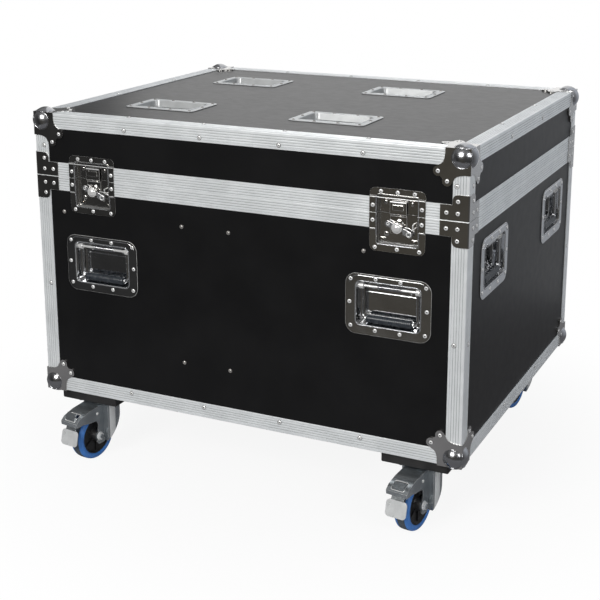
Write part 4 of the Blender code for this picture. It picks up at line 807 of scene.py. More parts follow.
def latch_half(turn):
    """One riveted half: stepped plate, tray with sloping sides, and its rolled rim."""
    reach, pocket = (LATCH_RISE, POCKET_RISE) if turn > 0 else (LATCH_DROP, POCKET_DROP)
    past = 0.005              # how far the cutters reach past the parting line

    def outline(half, start, end, radius):
        low, high = sorted((turn * start, turn * end))
        radii = (0, 0, radius, radius) if turn > 0 else (radius, radius, 0, 0)
        return rounded(-half, low, half, high, radii)

    bend, fold = RIM_LEG + FIT, 0.003
    profile = [(-OUT, PARTING), (-OUT, bend), (FLANGE, bend + fold), (FLANGE, reach),
               (FLANGE + PLATE, reach), (FLANGE + PLATE, bend + fold + FIT),
               (-FIT, bend + FIT), (-FIT, PARTING)]
    plate = prism([(u, turn * v) for u, v in profile], -LATCH_HALF, LATCH_HALF, YZ)
    plate = keep(plate, prism(outline(LATCH_HALF, -past, reach, 0.014), -0.01, 0.01, XZ))
    tray = prism(outline(POCKET_HALF + POCKET_SHELL, PARTING, pocket + POCKET_SHELL, POCKET_CORNER),
                 -FIT - PLATE / 2, POCKET_DEPTH + POCKET_SHELL, XZ)
    mouth = outline(POCKET_HALF, -past, pocket, POCKET_CORNER)
    floor = outline(POCKET_HALF - POCKET_SLOPE, -past, pocket - POCKET_SLOPE, POCKET_CORNER)
    above = 0.002             # the cutter starts this far before the plate
    grow = above / (POCKET_DEPTH + OUT + above)
    wide = [(u + (u - p) * grow, v + (v - q) * grow) for (u, v), (p, q) in zip(mouth, floor)]
    half = cut(join(plate, tray), prism(wide, -OUT - above, POCKET_DEPTH, XZ, floor))

    # The tray's walls take the dark matte finish: painted shade on plated metal.
    def on_tray_wall(face):
        u, depth, v = face.center
        return (0.0 < depth < POCKET_DEPTH - 0.0005 and abs(u) < POCKET_HALF + 0.0003
                and abs(v) < pocket + 0.0003 and abs(face.normal.z) > 0.7)

    half = paint(edged(half, CHROME, 0.0006, 2, 35, 35), TRAY_WALL_SHADE, on_tray_wall)
    lip = POCKET_HALF + 0.0006
    path = [point for point in outline(lip, -past, pocket, POCKET_CORNER) if turn * point[1] > 0.0]
    rim = []
    for u, v in ((turn * lip, turn * PARTING), *path, (-turn * lip, turn * PARTING)):
        share = min(1.0, max(0.0, (turn * v - bend) / fold))
        rim.append((u, -OUT + share * (FLANGE + OUT) + 0.0002, v))
    near, far = POCKET_HALF + 0.002, LATCH_HALF - 0.002
    # Bars along the bends in the lighter bead finish: a painted highlight along each fold.
    folds = [tube([(u, -OUT + 0.0003, turn * bend) for u in ends], 0.0010, HIGHLIGHT_BEAD)
             for ends in ([(-far, far)] if turn > 0 else [(-far, -near), (far, near)])]
    return [half, tube(rim, 0.0013, BEAD, 10), *folds]


def boss(x, z, profile):
    return dress(lathe(profile, "y", 24, (x, POCKET_DEPTH, z)), CHROME, 60)


def pad(x, half, low, high, radius, rise, soft):
    """A raised pad on the tray's floor."""
    shape = prism(rounded(x - half, low, x + half, high, radius), POCKET_DEPTH - rise,
                  POCKET_DEPTH + 0.0004, XZ)
    return dress(shape, CHROME, soft=soft)


def latch_lower():
    parts = latch_half(-1)
    for x in (-0.036, 0.036):
        stud = rod(0.0036, (x, POCKET_DEPTH + 0.0004, -0.0605),
                   (x, POCKET_DEPTH - 0.0026, -0.0605), 24)
        parts.append(dress(stud, CHROME, soft=0.0008))
        parts.append(pad(x, 0.0070, -0.0645, -0.0555, 0.0015, 0.0014, 0.0006))
    for x in (-0.028, 0.024):
        parts.append(boss(x, -0.047, [(0.0, 0.0055), (-0.0010, 0.0052), (-0.0018, 0.0038),
                                      (-0.0022, 0.0018), (-0.0023, 0.0)]))
    bow = [(-0.0002 - 0.0042 * math.sin(a), -0.0245 - 0.0055 * math.cos(a))
           for a in (math.pi * k / 8 for k in range(9))]
    staple = [(POCKET_DEPTH, -0.0305), (0.0035, -0.0300), *bow, (0.0035, -0.0190),
              (POCKET_DEPTH, -0.0185)]
    parts.append(tube([(0.036, max(y, -0.0010), z) for y, z in staple], 0.0015, HIGHLIGHT_BEAD, 10))
    return merged("latch_lower_master", parts)


def latch_upper():
    parts = latch_half(1)
    keeper = rounded(0.0026, 0.0075, POCKET_DEPTH + 0.0004, 0.0205, 0.0018)
    parts.append(dress(prism(keeper, -0.0120, 0.0120, YZ), CHROME, soft=0.0005))
    for x in (-0.030, 0.0300):
        parts.append(boss(x, 0.0235, [(0.0, 0.0050), (-0.0010, 0.0047), (-0.0018, 0.0034),
                                      (-0.0021, 0.0016), (-0.0022, 0.0)]))
        parts.append(pad(x, 0.0075, 0.0165, 0.0305, 0.0025, 0.0008, 0.0004))
    return merged("latch_upper_master", parts)


def latch_hook():
    """The draw plate: cranked forwards above the parting line, with a slot and a window."""
    step, gap = 0.0037, 0.004 + FIT
    slot_low = -0.008 - gap
    top, crank = 0.027 + HUB_DROP, -0.001 + HUB_DROP
    foot, flat = slot_low - 0.006, crank - 0.005
    side = [(HOOK_FACE, foot), (HOOK_REAR, foot), (HOOK_REAR, flat), (HOOK_REAR - step, crank),
            (HOOK_REAR - step, top), (HOOK_FACE - step, top), (HOOK_FACE - step, crank),
            (HOOK_FACE, flat)]
    slot = prism(rounded(-gap, slot_low, gap, gap, gap - 0.0001), -0.001, HOOK_REAR + 0.005, XZ)
    window = prism(rounded(-0.0125, top - 0.0165, 0.0125, top - 0.0050, 0.002), -0.002,
                   HOOK_FACE - 0.0004, XZ)
    hook = edged(cut(prism(side, -0.019, 0.019, YZ), slot, window), CHROME, 0.0004, 2, 32, 35)
    lips = [tube([(-half, y, z), (half, y, z)], radius, HIGHLIGHT_BEAD, 10) for half, y, z, radius in (
        (0.0185, HOOK_FACE - step, top - 0.0012, 0.0016),
        (0.0125, HOOK_FACE - 0.0039, top - 0.0168, 0.0012))]
    return merged("latch_hook_master", [hook, *lips])


def latch_hub():
    """The turning disc with its spindle, and the wing's pin in two lugs."""
    behind = HUB_FRONT + 0.0035
    disc = lathe([(HOOK_REAR + 0.0012, 0.0), (HOOK_REAR + 0.0012, 0.004), (behind, 0.004),
                  (behind, 0.0126), (HUB_FRONT + 0.0030, 0.0130), (HUB_FRONT + 0.0008, 0.0130),
                  (HUB_FRONT + 0.0002, 0.0124), (HUB_FRONT, 0.0112), (HUB_FRONT + 0.0005, 0.0104),
                  (HUB_FRONT + 0.0003, 0.0092), (HUB_FRONT, 0.0080), (HUB_FRONT, 0.0)], "y", 48)
    pin = across(0.0012, -0.0112, 0.0112, WING_AXIS, 0.004, 16)
    lug = rounded(WING_AXIS - 0.0022, 0.0018, HUB_FRONT + 0.0005, 0.0062, 0.0018)
    lugs = [dress(prism(lug, *ends, YZ), CHROME, soft=0.0003)
            for ends in ((-0.0113, -0.0088), (0.0088, 0.0113))]
    return merged("latch_hub_master", [dress(disc, CHROME), dress(pin, CHROME), *lugs])


def latch_wing():
    """The butterfly: two ears of different length, an eye in one, and the dome between."""
    top_edge, low_edge, waist = -0.003, -0.015, -0.010
    ear_left = rounded(-0.028, low_edge, -0.0118, top_edge, 0.0045, 6)
    ear_right = rounded(0.016, low_edge, 0.038, top_edge, 0.0050, 6)
    per = len(ear_left) // 4
    outline = ear_left[:2 * per] + [(-0.0105, waist), (0.0140, waist)]
    outline += ear_right[:3 * per] + ear_left[3 * per:]
    wing = prism(outline, -0.0010, 0.0010, XZ)
    wing = cut(wing, rod(0.0035, (0.030, -0.01, -0.009), (0.030, 0.01, -0.009), 24))
    wing = join(wing, block((-0.0085, -0.0009, -0.0060), (0.0085, 0.0009, 0.0)))
    eyes = [tube([(x + radius * a, -0.0010, -0.009 + radius * b) for a, b in circle(28)], thick,
                 HIGHLIGHT_BEAD, closed=True)
            for x, radius, thick in ((0.0300, 0.0050, 0.0011), (-0.0215, 0.0030, 0.0009))]
    knuckle = across(0.0022, -0.0085, 0.0085, 0, 0, 20)
    dome = lathe([(0.0005, 0.0120), (-0.0006, 0.0120), (-0.0008, 0.0104), (-0.0012, 0.0098),
                  (-0.0026, 0.0092), (-0.0042, 0.0076), (-0.0054, 0.0052), (-0.0061, 0.0026),
                  (-0.0062, 0.0)], "y", 40, (0, -0.0008, -0.0086))
    # The dome takes the lighter bead finish: a painted highlight.
    return merged("latch_wing_master", [edged(wing, BEAD, 0.0005, 2, 40, 40),
                                        dress(knuckle, CHROME), dress(dome, HIGHLIGHT_BEAD, 60), *eyes])


def build_latches():
    masters = lower, upper, hook, hub, wing = (latch_lower(), latch_upper(), latch_hook(),
                                               latch_hub(), latch_wing())
    for side, x in (("left", -LATCH_X), ("right", LATCH_X)):
        at_split = moved(x, FRONT, SPLIT)
        at_hub = moved(x, FRONT, SPLIT - HUB_DROP)
        turned = at_hub @ Matrix.Rotation(WING_TURN, 4, "Y")
        axis = turned @ moved(0, WING_AXIS, 0.004)
        for master, name, where, body, node in (
                (lower, "latch_tray", at_split, "case", "latch_dish"),
                (upper, "latch_cover", at_split, "lid", "latch_keeper"),
                (hook, "latch_draw_plate", at_hub, f"latch_hook_{side}", "latch_hook"),
                (hub, "latch_turner", turned, f"latch_hub_{side}", "latch_hub"),
                (wing, "latch_butterfly", axis, f"latch_wing_{side}", "latch_wing")):
            settle(copy_at(master, f"{name}_{side}", where), body, "bright_zinc_plate",
                   f"{node}_{side}")
        for name, body, turn, far, width in (("low", "case", -1, 0.0775, 0.0510),
                                             ("top", "lid", 1, 0.0478, 0.0385)):
            spots = [(u, -OUT, 0.0165) for u in (-0.0560, 0.0560)]
            spots += [(u, FLANGE, far) for u in (-width, 0.0, width)]
            rivets(f"latch_rivets_{name}_{side}", body,
                   [looking((x + u, FRONT + d, SPLIT + turn * v), (0, -1, 0)) for u, d, v in spots],
                   "bright_zinc_plate")
    drop(*masters)


# ---------------------------------------------------------------- handles

SIDE_REACH, SIDE_HEIGHT = 0.252, BOTTOM + 0.425
HANDLES = {"front_left": moved(-0.372, FRONT, BOTTOM + 0.348),
           "front_right": moved(0.372, FRONT, BOTTOM + 0.348),
           "right_front": side_frame(1, MIDDLE - SIDE_REACH, SIDE_HEIGHT),
           "right_rear": side_frame(1, MIDDLE + SIDE_REACH, SIDE_HEIGHT),
           "left_front": side_frame(-1, MIDDLE - SIDE_REACH, SIDE_HEIGHT),
           "left_rear": side_frame(-1, MIDDLE + SIDE_REACH, SIDE_HEIGHT)}
ROD_DEPTH, ROD_HEIGHT = 0.013, 0.036


def handle_dish():
    half_w, rise, fall = 0.1005, 0.0665, 0.0735
    side, deep = 0.075, 0.028
    pocket = (side, -0.051, 0.048)
    plate = prism(rounded(-half_w, -fall, half_w, rise, 0.026, 10), FLANGE, FLANGE + PLATE, XZ)
    shell = prism(opening(*pocket, PLATE, 0.0115), FLANGE + PLATE / 2, deep + PLATE, XZ)
    hollow = prism(opening(*pocket, 0.0006, 0.0110), -0.003, deep, XZ,
                   opening(*pocket, -0.0035, 0.0080))
    dish = edged(cut(join(plate, shell), hollow), STEEL, 0.0006, 3, 35, 35)
    bead = tube([(u, FLANGE + 0.0002, v) for u, v in opening(*pocket, 0.0016, 0.0125)], 0.0013,
                BEAD, 10, closed=True)
    crest = sorted((u, v) for u, v in rounded(-half_w + 0.0085, -fall, half_w - 0.0085,
                                              rise - 0.0050, 0.021) if v > 0.043)
    ridge = tube([(u, FLANGE + 0.0001, v) for u, v in crest], 0.0011, STEEL)
    bar = across(0.003, -side - 0.0007, side + 0.0007, ROD_DEPTH, ROD_HEIGHT, 20)
    turns, per, length = 22, 10, 0.058
    coil = []
    for k in range(turns * per + 1):
        a, b = circle(per)[k % per]
        coil.append((-length / 2 + length * k / (turns * per), ROD_DEPTH + 0.0044 * a,
                     ROD_HEIGHT + 0.0044 * b))
    spring = tube(coil, 0.0011, STEEL, 6)
    fold = tube([(-0.062, deep - 0.0002, 0.018), (0.062, deep - 0.0002, 0.018)], 0.0012, STEEL)
    parts = [dish, bead, ridge, dress(bar, HIGHLIGHT_BEAD), spring, fold]
    for x in (-0.0735, 0.0735):
        collar = across(0.0060, x - 0.0022, x + 0.0022, ROD_DEPTH, ROD_HEIGHT, 24)
        parts.append(dress(collar, HIGHLIGHT_BEAD, soft=0.0006))
    for x in (-0.045, 0.045):
        stud = lathe([(0.0003, 0.0042), (-0.0008, 0.0038), (-0.0016, 0.0022), (-0.0018, 0.0)],
                     "y", 20, (x, deep, 0.028))
        parts.append(dress(stud, STEEL, 60))
    return merged("handle_dish_master", parts)


def handle_grip():
    arm, spread, bend = -0.075, 0.066, 0.012
    path = [(-spread, 0.0), (-spread, -0.03)]
    path += arc((-spread + bend, arm + bend), bend, math.pi, 1.5 * math.pi, 8)
    path += [(-u, v) for u, v in reversed(path)]
    parts = [tube([(u, 0, v) for u, v in path], 0.0045, STEEL, 16)]
    end = [(-0.054, 0.0), (-0.054, 0.0075), (-0.0532, 0.0090), (-0.0515, 0.0098)]
    line = list(end)
    for k in range(21):
        x = -0.048 + 0.096 * k / 20
        line += [(x - 0.0011, 0.0100), (x, 0.0097), (x + 0.0011, 0.0100)]
    line += [(-x, radius) for x, radius in reversed(end)]
    parts.append(dress(lathe(line, "x", 32, (0, 0, arm)), GRIP, 30))
    for sign in (-1, 1):
        eye = across(0.0075, sign * (spread - 0.005), sign * (spread + 0.005), 0, 0, 28)
        parts.append(dress(eye, HIGHLIGHT_BEAD, soft=0.0010, segments=3))
        ferrule = across(0.0062, sign * 0.0540, sign * 0.0575, 0, arm, 24)
        parts.append(dress(ferrule, STEEL, soft=0.0006))
    return merged("handle_grip_master", parts)


def build_handles():
    dish, grip = handle_dish(), handle_grip()
    spots = [(sign * u, v) for sign in (-1, 1) for u, v in (
        (0.088, 0.0525), (0.029, 0.0570), (0.0875, -0.0555), (0.029, -0.0610), (0.0905, -0.001))]
    for name, where in HANDLES.items():
        settle(copy_at(dish, f"handle_{name}", where), "case", "handle_steel",
               f"handle_dish_{name}")
        settle(copy_at(grip, f"grip_{name}", where @ moved(0, ROD_DEPTH, ROD_HEIGHT)),
               f"handle_grip_{name}", "handle_steel", f"handle_grip_{name}")
        rivets(f"handle_rivets_{name}", "case",
               [where @ moved(u, FLANGE, v) @ Matrix.Rotation(math.pi / 2, 4, "X")
                for u, v in spots], "bright_zinc_plate")
    drop(dish, grip)


# ---------------------------------------------------------------- cups in the lid

CUP_POCKET = (0.078, -0.048, 0.048)      # half its width, and its two long sides
CUP_SINK, CUP_SHELL = 0.016, 0.0012


def build_cups():
    front = -PANEL_FACE + FIT
    plate = prism(rounded(-0.0965, -0.0665, 0.0965, 0.0665, 0.012), front, front + PLATE, XY)
    rim = opening(*CUP_POCKET, CUP_SHELL, 0.0152)
    shell = prism(rim, -CUP_SINK - CUP_SHELL, front + PLATE / 2, XY)
    hollow = prism(opening(*CUP_POCKET, -0.004, 0.011), -CUP_SINK, 0.001, XY,
                   opening(*CUP_POCKET, 0.0, 0.014))
    cup = dress(cut(join(plate, shell), hollow), CUP_SHADED, 35, 0.0006, 3, 30)
    # Up-facing faces of the flange get the lighter copy, painted light; the rest keeps the darker
    # copy, painted shade.
    paint(cup, CUP_TOP_LIGHT, lambda face: face.center.z > -0.002 and face.normal.z > 0.3)
    bead = tube([(u, v, front + PLATE - 0.0001) for u, v in rim], 0.0012, CUP_TOP_LIGHT, closed=True)
    slot = prism(rounded(-0.045, 0.030, 0.045, 0.0365, 0.003), -CUP_SINK - 0.0002,
                 -CUP_SINK + 0.0002, XY)
    master = merged("cup_master", [cup, bead, clad(slot, DARK)])
    places = []
    for depth_name, y in (("front", -0.224), ("rear", 0.214)):
        for side, x in (("left", -0.302), ("right", 0.146)):
            where = moved(x, MIDDLE + y, TOP)
            settle(copy_at(master, f"cup_{depth_name}_{side}", where), "lid", "bright_zinc_plate",
                   f"wheel_cup_{depth_name}_{side}")
            for sign in (-1, 1):
                places += [where @ moved(u, v, front + PLATE) for u, v in (
                    (-0.084, sign * 0.057), (-0.030, sign * 0.0575), (0.030, sign * 0.0575),
                    (0.084, sign * 0.057), (sign * 0.0875, 0.0))]
    rivets("cup_rivets", "lid", places, "bright_zinc_plate", DOME_MASTER, 0.80)
    drop(master)


# ---------------------------------------------------------------- casters

TRAIL, WHEEL_RADIUS = 0.039, 0.0625
CASTER_HEIGHT, BOARD_SIZE = 0.155, 0.160
CROWN_TOP = 0.1437
HEAD_RADIUS, CREASE, GAP, SHEET = 0.046, 0.018, 0.023, 0.0035
FORK_HALF = GAP + SHEET
FORK_FRONT = TRAIL + WHEEL_RADIUS + 0.019
LIP_HEIGHT = CROWN_TOP * 0.846
PIVOT_OUT, PIVOT_HEIGHT = FORK_FRONT - 0.010, LIP_HEIGHT - 0.0035


def side_slab(outline, half):
    return prism(outline, -half, half, SIDE)


def swivel_axis(sx, sy):
    return Vector((sx * (RIGHT - 0.1125), inset(sy, 0.066), 0))


def crown_line(braked):
    if braked:
        reach = FORK_FRONT
        shares = ((0.647, 0.970), (0.905, 0.912), (1.0, 0.846), (0.987, 0.776), (0.788, 0.780),
                  (0.656, 0.755))
    else:
        reach = TRAIL + WHEEL_RADIUS / 3 - 0.004
        shares = ((0.93, 0.968), (1.0, 0.900))
    return [(0.036, CROWN_TOP), *[(reach * u, CROWN_TOP * v) for u, v in shares]]


def fork_body(braked, foot):
    """A pressed fork: round head behind, flat sides in front, hollow inside."""
    head = rod(HEAD_RADIUS, (0, 0, foot), (0, 0, CROWN_TOP), 64)
    hollow = rod(HEAD_RADIUS - SHEET, (0, 0, foot - 0.005), (0, 0, CROWN_TOP - 0.004), 64)
    reach = HEAD_RADIUS + 0.005
    face = CREASE + SHEET
    head = cut(head, block((-reach, -reach, foot - 0.005), (reach, -face, CROWN_TOP + 0.005)))
    hollow = cut(hollow, block((-reach, -reach, foot - 0.010), (reach, -CREASE, CROWN_TOP)))
    waste = [(-HEAD_RADIUS, CROWN_TOP - 0.019), (face, foot), (face, foot - 0.005),
             (-reach, foot - 0.005), (-reach, CROWN_TOP - 0.019)]
    head = cut(head, side_slab(waste, reach), hollow)
    crown = crown_line(braked)
    leg = [(0.011, 0.044), (0.0072, 0.039), (0.0048, 0.0355), (0.0035, 0.032), (0.0045, 0.022),
           (0.0070, 0.006), (0.0095, -0.0105), (0.0090, -0.0150), (0.00775, -0.0175),
           (0.0050, -0.0200), (0.001, -0.021), (-0.015, -0.021)]
    outline = [(CREASE, CROWN_TOP), *crown, *[(TRAIL + u, WHEEL_RADIUS + v) for u, v in leg],
               (CREASE, foot)]
    fork = join(head, side_slab(outline, FORK_HALF))
    under = [(u, v - 0.004) for u, v in crown[:3 if braked else 2]]
    if braked:
        front = crown[4][0] - SHEET
        under.append((FORK_FRONT - SHEET, LIP_HEIGHT - 0.004))
    else:
        front = FORK_FRONT
        under.append((front, under[-1][1]))
    inside = [(-reach, CROWN_TOP - 0.004), *under, (front, -0.005), (-reach, -0.005)]
    fork = cut(fork, side_slab(inside, GAP),
               rod(0.0063, (0, 0, CROWN_TOP - 0.009), (0, 0, CROWN_TOP + 0.005), 24))
    if braked:
        half = 0.0155 + FIT * 3
        slot = rounded(-half, -FORK_FRONT + 0.004, half, -FORK_FRONT + 0.0285, 0.003, 5)
        fork = cut(fork, prism(slot, LIP_HEIGHT - 0.004, CROWN_TOP, XY))

    # The fork's flat side faces behind the crease take the pale finish: a painted sheen where the
    # bent plate catches the light.
    def behind_crease(face):
        return (-CREASE < face.center.y < 0.0 and abs(face.center.x) > FORK_HALF * 0.9
                and abs(face.normal.x) > 0.8 and face.area > 0.00001)

    return paint(edged(fork, ZINC, 0.0009, 2, 33, 36), PEDAL_PAINT_AND_SHEEN, behind_crease)


def slot_rim():
    """A rim round the pedal's slot in the lighter bead finish, a painted highlight, which follows
    the crown's two slopes.
    """
    after, knee, before = crown_line(True)[3:0:-1]
    loop = []
    for x, u in rounded(-0.0163, FORK_FRONT - 0.0285, 0.0163, FORK_FRONT - 0.004, 0.003, 5):
        other = after if u > knee[0] else before
        height = knee[1] + (other[1] - knee[1]) * (u - knee[0]) / (other[0] - knee[0])
        loop.append((x, -u, height - 0.0003))
    return tube(loop, 0.0011, HIGHLIGHT_BEAD, closed=True)


def build_fork(braked):
    foot = WHEEL_RADIUS - 0.0165
    axle_at = (-TRAIL, WHEEL_RADIUS)
    axle = across(0.0055, -FORK_HALF - 0.009, FORK_HALF + 0.009, *axle_at, 24)
    parts = [fork_body(braked, foot), dress(axle, ZINC, soft=0.0006)]
    for sign in (-1, 1):
        for radius, start, end, sides, smooth, soft in ((0.0110, -0.0003, 0.0014, 32, 40, 0.0004),
                                                        (0.0095, 0.0012, 0.0060, 6, 30, 0.0007)):
            nut = across(radius, sign * (FORK_HALF + start), sign * (FORK_HALF + end), *axle_at,
                         sides)
            parts.append(dress(nut, PEDAL_PAINT_AND_SHEEN, smooth, soft))
        parts.append(tube([(sign * (FORK_HALF - 0.0010), -CREASE - 0.0020, z)
                           for z in (foot + 0.006, CROWN_TOP - 0.006)], 0.0021, ZINC, 10))
        head = [(-0.0004, 0.0042), (0.0008, 0.0038), (0.0016, 0.0024), (0.0019, 0.0)]
        head = lathe([(sign * along, radius) for along, radius in head], "x", 20,
                     (sign * FORK_HALF, -0.045, 0.125))
        parts.append(dress(head, HIGHLIGHT_BEAD, 60))
    if braked:
        parts.append(slot_rim())
    return merged("fork_master", parts)


TREAD_LINE = [(-0.0092, 0.0600), (-0.0094, 0.0622), (-0.0060, 0.0625), (0.0, 0.0625),
              (0.0060, 0.0625), (0.0094, 0.0622), (0.0092, 0.0600)]
TYRE_LINE = [(0.0088, 0.0560), (0.0090, 0.0619), (0.0100, 0.0621), (0.0125, 0.0617),
             (0.0150, 0.0606), (0.0172, 0.0586), (0.0186, 0.0560), (0.0190, 0.0535),
             (0.0188, 0.0512), (0.0180, 0.0490), (0.0162, 0.0473), (0.0120, 0.0468)]
RIM_LINE = [(0.0140, 0.0480), (0.0166, 0.0472), (0.0172, 0.0462), (0.0168, 0.0450),
            (0.0120, 0.0425), (0.0098, 0.0400), (0.0094, 0.0300), (0.0096, 0.0190),
            (0.0120, 0.0165), (0.0205, 0.0150), (0.0220, 0.0138), (0.0224, 0.0100),
            (0.0224, 0.0058)]
CAP_LINE = [(0.0200, 0.0120), (0.0226, 0.0118), (0.0227, 0.0058)]


def build_wheel():
    parts = [dress(lathe(TREAD_LINE, "x", 96), TREAD, 50)]
    for sign in (-1, 1):
        for line, sides, finish, smooth in ((TYRE_LINE, 96, BLUE, 50), (RIM_LINE, 72, RIM, 40),
                                            (CAP_LINE, 48, ZINC, 40)):
            turned = lathe([(sign * along, radius) for along, radius in line], "x", sides)
            parts.append(dress(turned, finish, smooth))
        for k in range(6):
            rib = prism([(0.0150, -0.0016), (0.0430, -0.0013), (0.0430, 0.0013), (0.0150, 0.0016)],
                        sign * 0.0080, sign * 0.0135, lambda u, v, w: (w, v, u))
            rib.data.transform(Matrix.Rotation(FULL_TURN * k / 6, 4, "X"))
            parts.append(dress(rib, RIM, soft=0.0006))
    parts.append(dress(lathe([(-0.0224, 0.0058), (0.0224, 0.0058)], "x", 32), RIM))
    core = [(-0.0095, 0.0), (-0.0095, 0.0470), (0.0095, 0.0470), (0.0095, 0.0)]
    parts.append(dress(lathe(core, "x", 64), RIM))
    return merged("wheel_master", parts)


def bent_strip(points, half, sheet):
    normals = []
    for (u0, v0), (u1, v1) in zip(points, points[1:]):
        length = math.hypot(u1 - u0, v1 - v0)
        normals.append(((v0 - v1) / length, (u1 - u0) / length))
    near, far = [], []
    for (u, v), first, second in zip(points, normals[:1] + normals, normals + normals[-1:]):
        mitre = sheet / (1 + first[0] * second[0] + first[1] * second[1])
        step = ((first[0] + second[0]) * mitre / 2, (first[1] + second[1]) * mitre / 2)
        near.append((u + step[0], v + step[1]))
        far.append((u - step[0], v - step[1]))
    return side_slab(near + far[::-1], half)


def build_pedal(flap_angle):
    """A brake pedal round its pin: a bent strip with a ribbed flap, and the broad tab."""
    hinge, knee = (0.0035, 0.0095), (0.005, -0.0195)
    along = (-math.cos(flap_angle), math.sin(flap_angle))
    flap, ribs = 0.017, 4
    flap_end = (hinge[0] + flap * along[0], hinge[1] + flap * along[1])
    sheet = bent_strip([flap_end, hinge, (0, 0), (0, -0.009), knee], 0.0155, 0.003)
    parts = [dress(across(0.002, -0.0262, 0.0262, 0, 0, 20), ZINC),
             dress(sheet, ZINC, 35, 0.0006, 2, 20)]
    for k in range(ribs):
        share = flap * (k + 1) / (ribs + 1)
        u = hinge[0] + along[0] * share + along[1] * 0.0015
        v = hinge[1] + along[1] * share - along[0] * 0.0015
        parts.append(tube([(-0.0135, -u, v), (0.0135, -u, v)], 0.0009, ZINC))
    tab = prism(rounded(-0.026, -0.038, 0.026, 0.0015, 0.009), -0.0015, 0.0015, XZ)
    soften(tab, 0.0007, 3, 40)
    tab.data.transform(moved(0, -knee[0], knee[1]) @ Matrix.Rotation(-math.radians(14.0), 4, "X"))
    return merged("pedal_master", [*parts, dress(tab, PEDAL_PAINT_AND_SHEEN)])


def build_mount(name, sx, sy):
    """The black board, cut clear of the ball corner, and the plate with its bearing and bolts."""
    low = CASTER_HEIGHT

    def inwards(x, y, reach, bottom, top):
        """A square block from a corner (x, y) towards the case's middle."""
        (west, east), (south, north) = sorted((x, x - sx * reach)), sorted((y, y - sy * reach))
        return block((west, south, bottom), (east, north, top))

    board = inwards(sx * (RIGHT - 0.033), inset(sy, 0.013), BOARD_SIZE, low, BOTTOM - FIT)
    plates = inwards(sx * RIGHT, inset(sy, 0.0), LOBE_FAR + LOBE_RADIUS + FIT,
                     BOTTOM - OUT - FIT, BOTTOM + 0.005)
    ball = globe(BALL_RADIUS + 0.0010, (sx * (RIGHT - BALL_INSET), inset(sy, BALL_INSET),
                                        BOTTOM + BALL_INSET), 40, 24)
    board = cut(soften(board, 0.003, 3), plates, ball)
    board.name = f"caster_board_{name}"
    settle(dress(board, BOARD), "case", "black_board", f"caster_mount_{name}")

    axis = swivel_axis(sx, sy)

    def upright(radius, start, end, sides, x=0.0, y=0.0):
        return rod(radius, (axis.x + x, axis.y + y, start), (axis.x + x, axis.y + y, end), sides)

    outline = rounded(axis.x - 0.0525, axis.y - 0.0425, axis.x + 0.0525, axis.y + 0.0425, 0.006, 5)
    race = lathe([(low - 0.002, 0.0), (low - 0.002, 0.0300), (low - 0.0045, 0.0305),
                  (low - 0.0060, 0.0298), (low - 0.0068, 0.0270), (low - 0.0078, 0.0270),
                  (low - 0.0088, 0.0300), (low - 0.0105, 0.0300), (low - 0.0110, 0.0285),
                  (low - 0.0110, 0.0)], "z", 64, axis)
    parts = [dress(prism(outline, low - 0.004, low + 0.0003, XY), ZINC, soft=0.0006),
             dress(race, ZINC)]
    seat = low - 0.0035
    for x, y in ((-0.040, -0.030), (-0.040, 0.030), (0.040, -0.030), (0.040, 0.030)):
        parts.append(dress(upright(0.0065, seat, low - 0.0090, 6, x, y), ZINC, 30, 0.0006))
        parts.append(dress(upright(0.0085, seat, low - 0.0052, 28, x, y), ZINC, soft=0.0004))
    under = low - 0.004 - 0.007 - FIT - 0.004      # of the fork's crown
    parts.append(dress(upright(0.006, under - 0.0023, low - 0.009, 20), ZINC))
    parts.append(dress(upright(0.010, under - 0.0043, under - FIT, 6), ZINC, 30, 0.0006))
    settle(merged(f"caster_plate_{name}", parts), "case", "caster_zinc")


def build_casters():
    forks = {True: build_fork(True), False: build_fork(False)}
    pedals = {-1: build_pedal(math.radians(62.0)), 1: build_pedal(math.radians(28.0))}
    wheel = build_wheel()
    for name, sx, sy in (("front_left", -1, -1), ("front_right", 1, -1),
                         ("rear_left", -1, 1), ("rear_right", 1, 1)):
        build_mount(name, sx, sy)
        at_swivel = Matrix.Translation(swivel_axis(sx, sy)) @ Matrix.Rotation(-HEADING, 4, "Z")
        settle(copy_at(forks[sy < 0], f"fork_{name}", at_swivel), f"caster_fork_{name}",
               "caster_zinc", f"caster_fork_{name}")
        settle(copy_at(wheel, f"tyre_{name}", at_swivel @ moved(0, -TRAIL, WHEEL_RADIUS)),
               f"wheel_{name}", "wheel_rubber", f"wheel_{name}")
        if sy < 0:
            at_pin = at_swivel @ moved(0, -PIVOT_OUT, PIVOT_HEIGHT)
            settle(copy_at(pedals[sx], f"pedal_{name}", at_pin), f"brake_pedal_{name}",
                   "pedal_paint", f"brake_pedal_{name}")
    drop(*forks.values(), *pedals.values(), wheel)


# ---------------------------------------------------------------- hinge and carried solids

def build_hinge_rivets():
    for body, sign, name in (("case", -1, "hinge_base_rivets"), ("lid", 1, "hinge_lid_rivets")):
        places = [looking((-0.42 + 0.12 * k, BACK + OUT, SPLIT + sign * 0.019), (0, 1, 0))
                  for k in range(8)]
        rivets(name, body, places, "hinge_steel", size=0.9)


CARRIED = {"base_wall_panels": LAMINATE, "lid_wall_panels": LAMINATE, "lid_top_panel": TOP_SHEEN_LAMINATE,
           "base_floor_panel": LAMINATE, "divider_left": PLYWOOD, "divider_right": PLYWOOD,
           "hinge_base_leaf": HINGE, "hinge_lid_leaf": HINGE}


def dress_carried():
    for name, finish in CARRIED.items():
        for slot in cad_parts[name].material_slots:
            slot.material = finish


# ---------------------------------------------------------------- stage, light and camera

FLOOR_RADIUS = 1.20
CENTRE_HEIGHT = 0.5
SHELL_RADIUS = 6.6


def clamp(value, low=0.0):
    return max(low, min(1.0, value))


